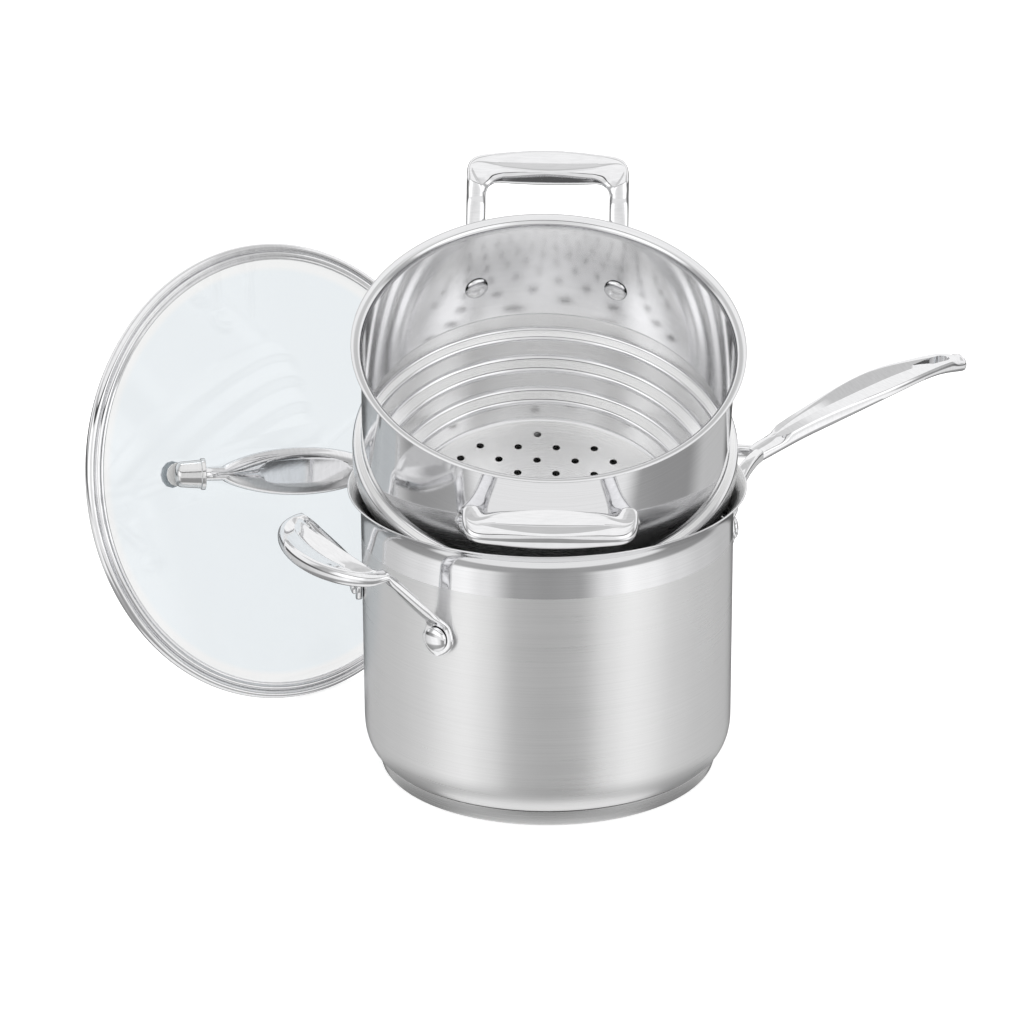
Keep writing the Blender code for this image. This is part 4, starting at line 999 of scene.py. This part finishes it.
def stage_floor():
    """A white floor. Glass shows it white too, and what metal mirrors through the glass passes it."""
    material, tree, card = new_material("floor_white")
    tree.fill(card, {"Base Color": (FLOOR_WHITE, FLOOR_WHITE, FLOOR_WHITE, 1.0), "Roughness": 0.9})
    path = tree.node("LightPath").outputs
    glow = tree.node("Emission", {"Strength": FLOOR_GLOW}).outputs[0]
    lifted = tree.node("AddShader", {0: card.outputs[0], 1: glow}).outputs[0]
    direct = tree.mixed_shader(path["Is Camera Ray"], card.outputs[0], lifted)
    white = tree.node("Emission").outputs[0]
    through = tree.mixed_shader(path["Glossy Depth"], white, tree.node("BsdfTransparent").outputs[0])
    tree.surface(tree.mixed_shader(path["Is Transmission Ray"], direct, through))
    mesh = bpy.data.meshes.new("floor")
    corners = [(x * FLOOR_REACH, y * FLOOR_REACH, -GAP) for x, y in ((-1, -1), (1, -1), (1, 1), (-1, 1))]
    mesh.from_pydata(corners, [], [(0, 1, 2, 3)])
    mesh.materials.append(material)
    item = add_item("floor", mesh)
    item.visible_glossy = False


stage_floor()


# World: a studio that the metal mirrors. Each band starts between two heights (the Z of a direction) and has
# its brightness by the turn away from the camera's side (0) round to the back (1).

CAMERA_SIDE, NADIR, ZENITH, ZENITH_START = Vector((-0.5, -0.866, 0)), 0.90, 1.0, (0.87, 0.91)
STUDIO = (
    ((-0.86, -0.8), ((0, 0.32), (0.2, 0.4), (0.35, 0.45), (0.6, 0.32), (1, 0.2))),
    ((-0.62, -0.52), ((0, 0.34), (0.1, 0.38), (0.22, 0.9), (0.29, 1.1), (0.37, 1.02), (0.48, 0.82),
                      (0.62, 0.66), (0.76, 0.56), (0.9, 0.52), (1, 0.4))),
    ((-0.22, -0.14), ((0, 0.85), (0.15, 0.88), (0.28, 0.9), (0.4, 0.35), (0.55, 0.12), (0.8, 0.1),
                      (1, 0.1))),
    ((0.02, 0.07), ((0, 0.8), (0.08, 0.88), (0.16, 1.2), (0.3, 1.35), (0.38, 1.1), (0.44, 0.5),
                    (0.5, 0.45), (0.58, 0.95), (0.8, 1), (1, 1))),
    ((0.56, 0.6), ((0, 0.06), (0.22, 0.1), (0.35, 0.45), (0.5, 0.6), (0.7, 0.7), (1, 0.74))),
    ((0.66, 0.7), ((0, 0.95), (0.2, 1), (0.4, 0.85), (0.6, 0.66), (1, 0.62))),
)
DARK_CARD, DARK_CARD_EDGE, DARK_CARD_LEVEL = (-0.931, 0.0, -0.365), (0.90, 0.96), 0.12


def build_world():
    world = bpy.data.worlds.new("studio")
    bpy.context.scene.world = world
    tree = Tree(world)
    direction = tree.node("TexCoord").outputs["Generated"]
    turn = math.atan2(CAMERA_SIDE.x, CAMERA_SIDE.y) - pi / 2
    turning = {"Vector": direction, "Rotation": (0, 0, turn)}
    turned = tree.node("Mapping", turning, vector_type="VECTOR").outputs[0]
    parts = tree.node("SeparateXYZ", {0: turned}).outputs
    angle = tree.math("ARCTAN2", parts[1], parts[0])
    share = tree.math("DIVIDE", tree.math("ABSOLUTE", angle), pi)

    def ramp(stops):
        made = tree.node("ValToRGB", {0: share})
        made.color_ramp.interpolation = "EASE"
        while len(made.color_ramp.elements) < len(stops):
            made.color_ramp.elements.new(0.5)
        for element, (position, value) in zip(made.color_ramp.elements, stops):
            element.position = position
            element.color = (value, value, value, 1)
        return made.outputs[0]

    def past(value, edge):
        return tree.ranged(value, 0.0, 1.0, *edge, "SMOOTHSTEP")

    level = NADIR
    for start, stops in STUDIO:
        level = tree.mixed(past(parts[2], start), level, ramp(stops))
    level = tree.mixed(past(parts[2], ZENITH_START), level, ZENITH)
    card = tree.node("VectorMath", {0: turned, 1: DARK_CARD}, operation="DOT_PRODUCT").outputs["Value"]
    level = tree.mixed(past(card, DARK_CARD_EDGE), level, DARK_CARD_LEVEL)
    path = tree.node("LightPath").outputs
    through_glass = tree.math("MULTIPLY", path["Is Transmission Ray"],
                              tree.math("LESS_THAN", path["Glossy Depth"], 0.5))
    seen = tree.math("MAXIMUM", path["Is Camera Ray"], through_glass)
    tree.fill(tree.nodes["Background"], {"Color": tree.mixed(seen, level, 1.0), "Strength": 1.0})


build_world()


# Light and camera

SOFTBOX_PLACE, SOFTBOX_TARGET, SOFTBOX_POWER = Vector((0.3, 0.9, 1.7)), Vector((0, 0, 0.1)), 5
light = bpy.data.lights.new("top_softbox", "AREA")
light.shape = "RECTANGLE"
light.size, light.size_y, light.energy = 1.0, 0.8, SOFTBOX_POWER
softbox = add_item("top_softbox", light)
softbox.location = SOFTBOX_PLACE
softbox.rotation_euler = (SOFTBOX_TARGET - SOFTBOX_PLACE).to_track_quat("-Z", "Y").to_euler()
softbox.visible_glossy = False

# The camera was fitted with the long handle 30 degrees off, so it turns with it
SENSOR, FOCAL_PIXELS, PHOTO_PIXELS = 36.0, 4158, 1024
PITCH, ROLL, YAW = radians(21.42), radians(-0.32), radians(-0.52)
CAMERA_PLACE, CAMERA_TURN = Vector((0, -2.1, 0.968)), radians(-30)
lens = bpy.data.cameras.new("camera")
lens.sensor_width = SENSOR
lens.sensor_fit = "HORIZONTAL"
lens.lens = SENSOR * FOCAL_PIXELS / PHOTO_PIXELS
lens.clip_end = 30
camera = add_item("camera", lens)
forward = Vector((sin(YAW) * cos(PITCH), cos(YAW) * cos(PITCH), -sin(PITCH)))
level_right = Vector((cos(YAW), -sin(YAW), 0))
level_up = level_right.cross(forward)
right = cos(ROLL) * level_right + sin(ROLL) * level_up
up = -sin(ROLL) * level_right + cos(ROLL) * level_up
turned = Matrix((right, up, -forward)).transposed().to_4x4()
camera.matrix_world = Matrix.Rotation(CAMERA_TURN, 4, "Z") @ (Matrix.Translation(CAMERA_PLACE) @ turned)
bpy.context.scene.camera = camera
bpy.context.scene.view_settings.view_transform = "Standard"
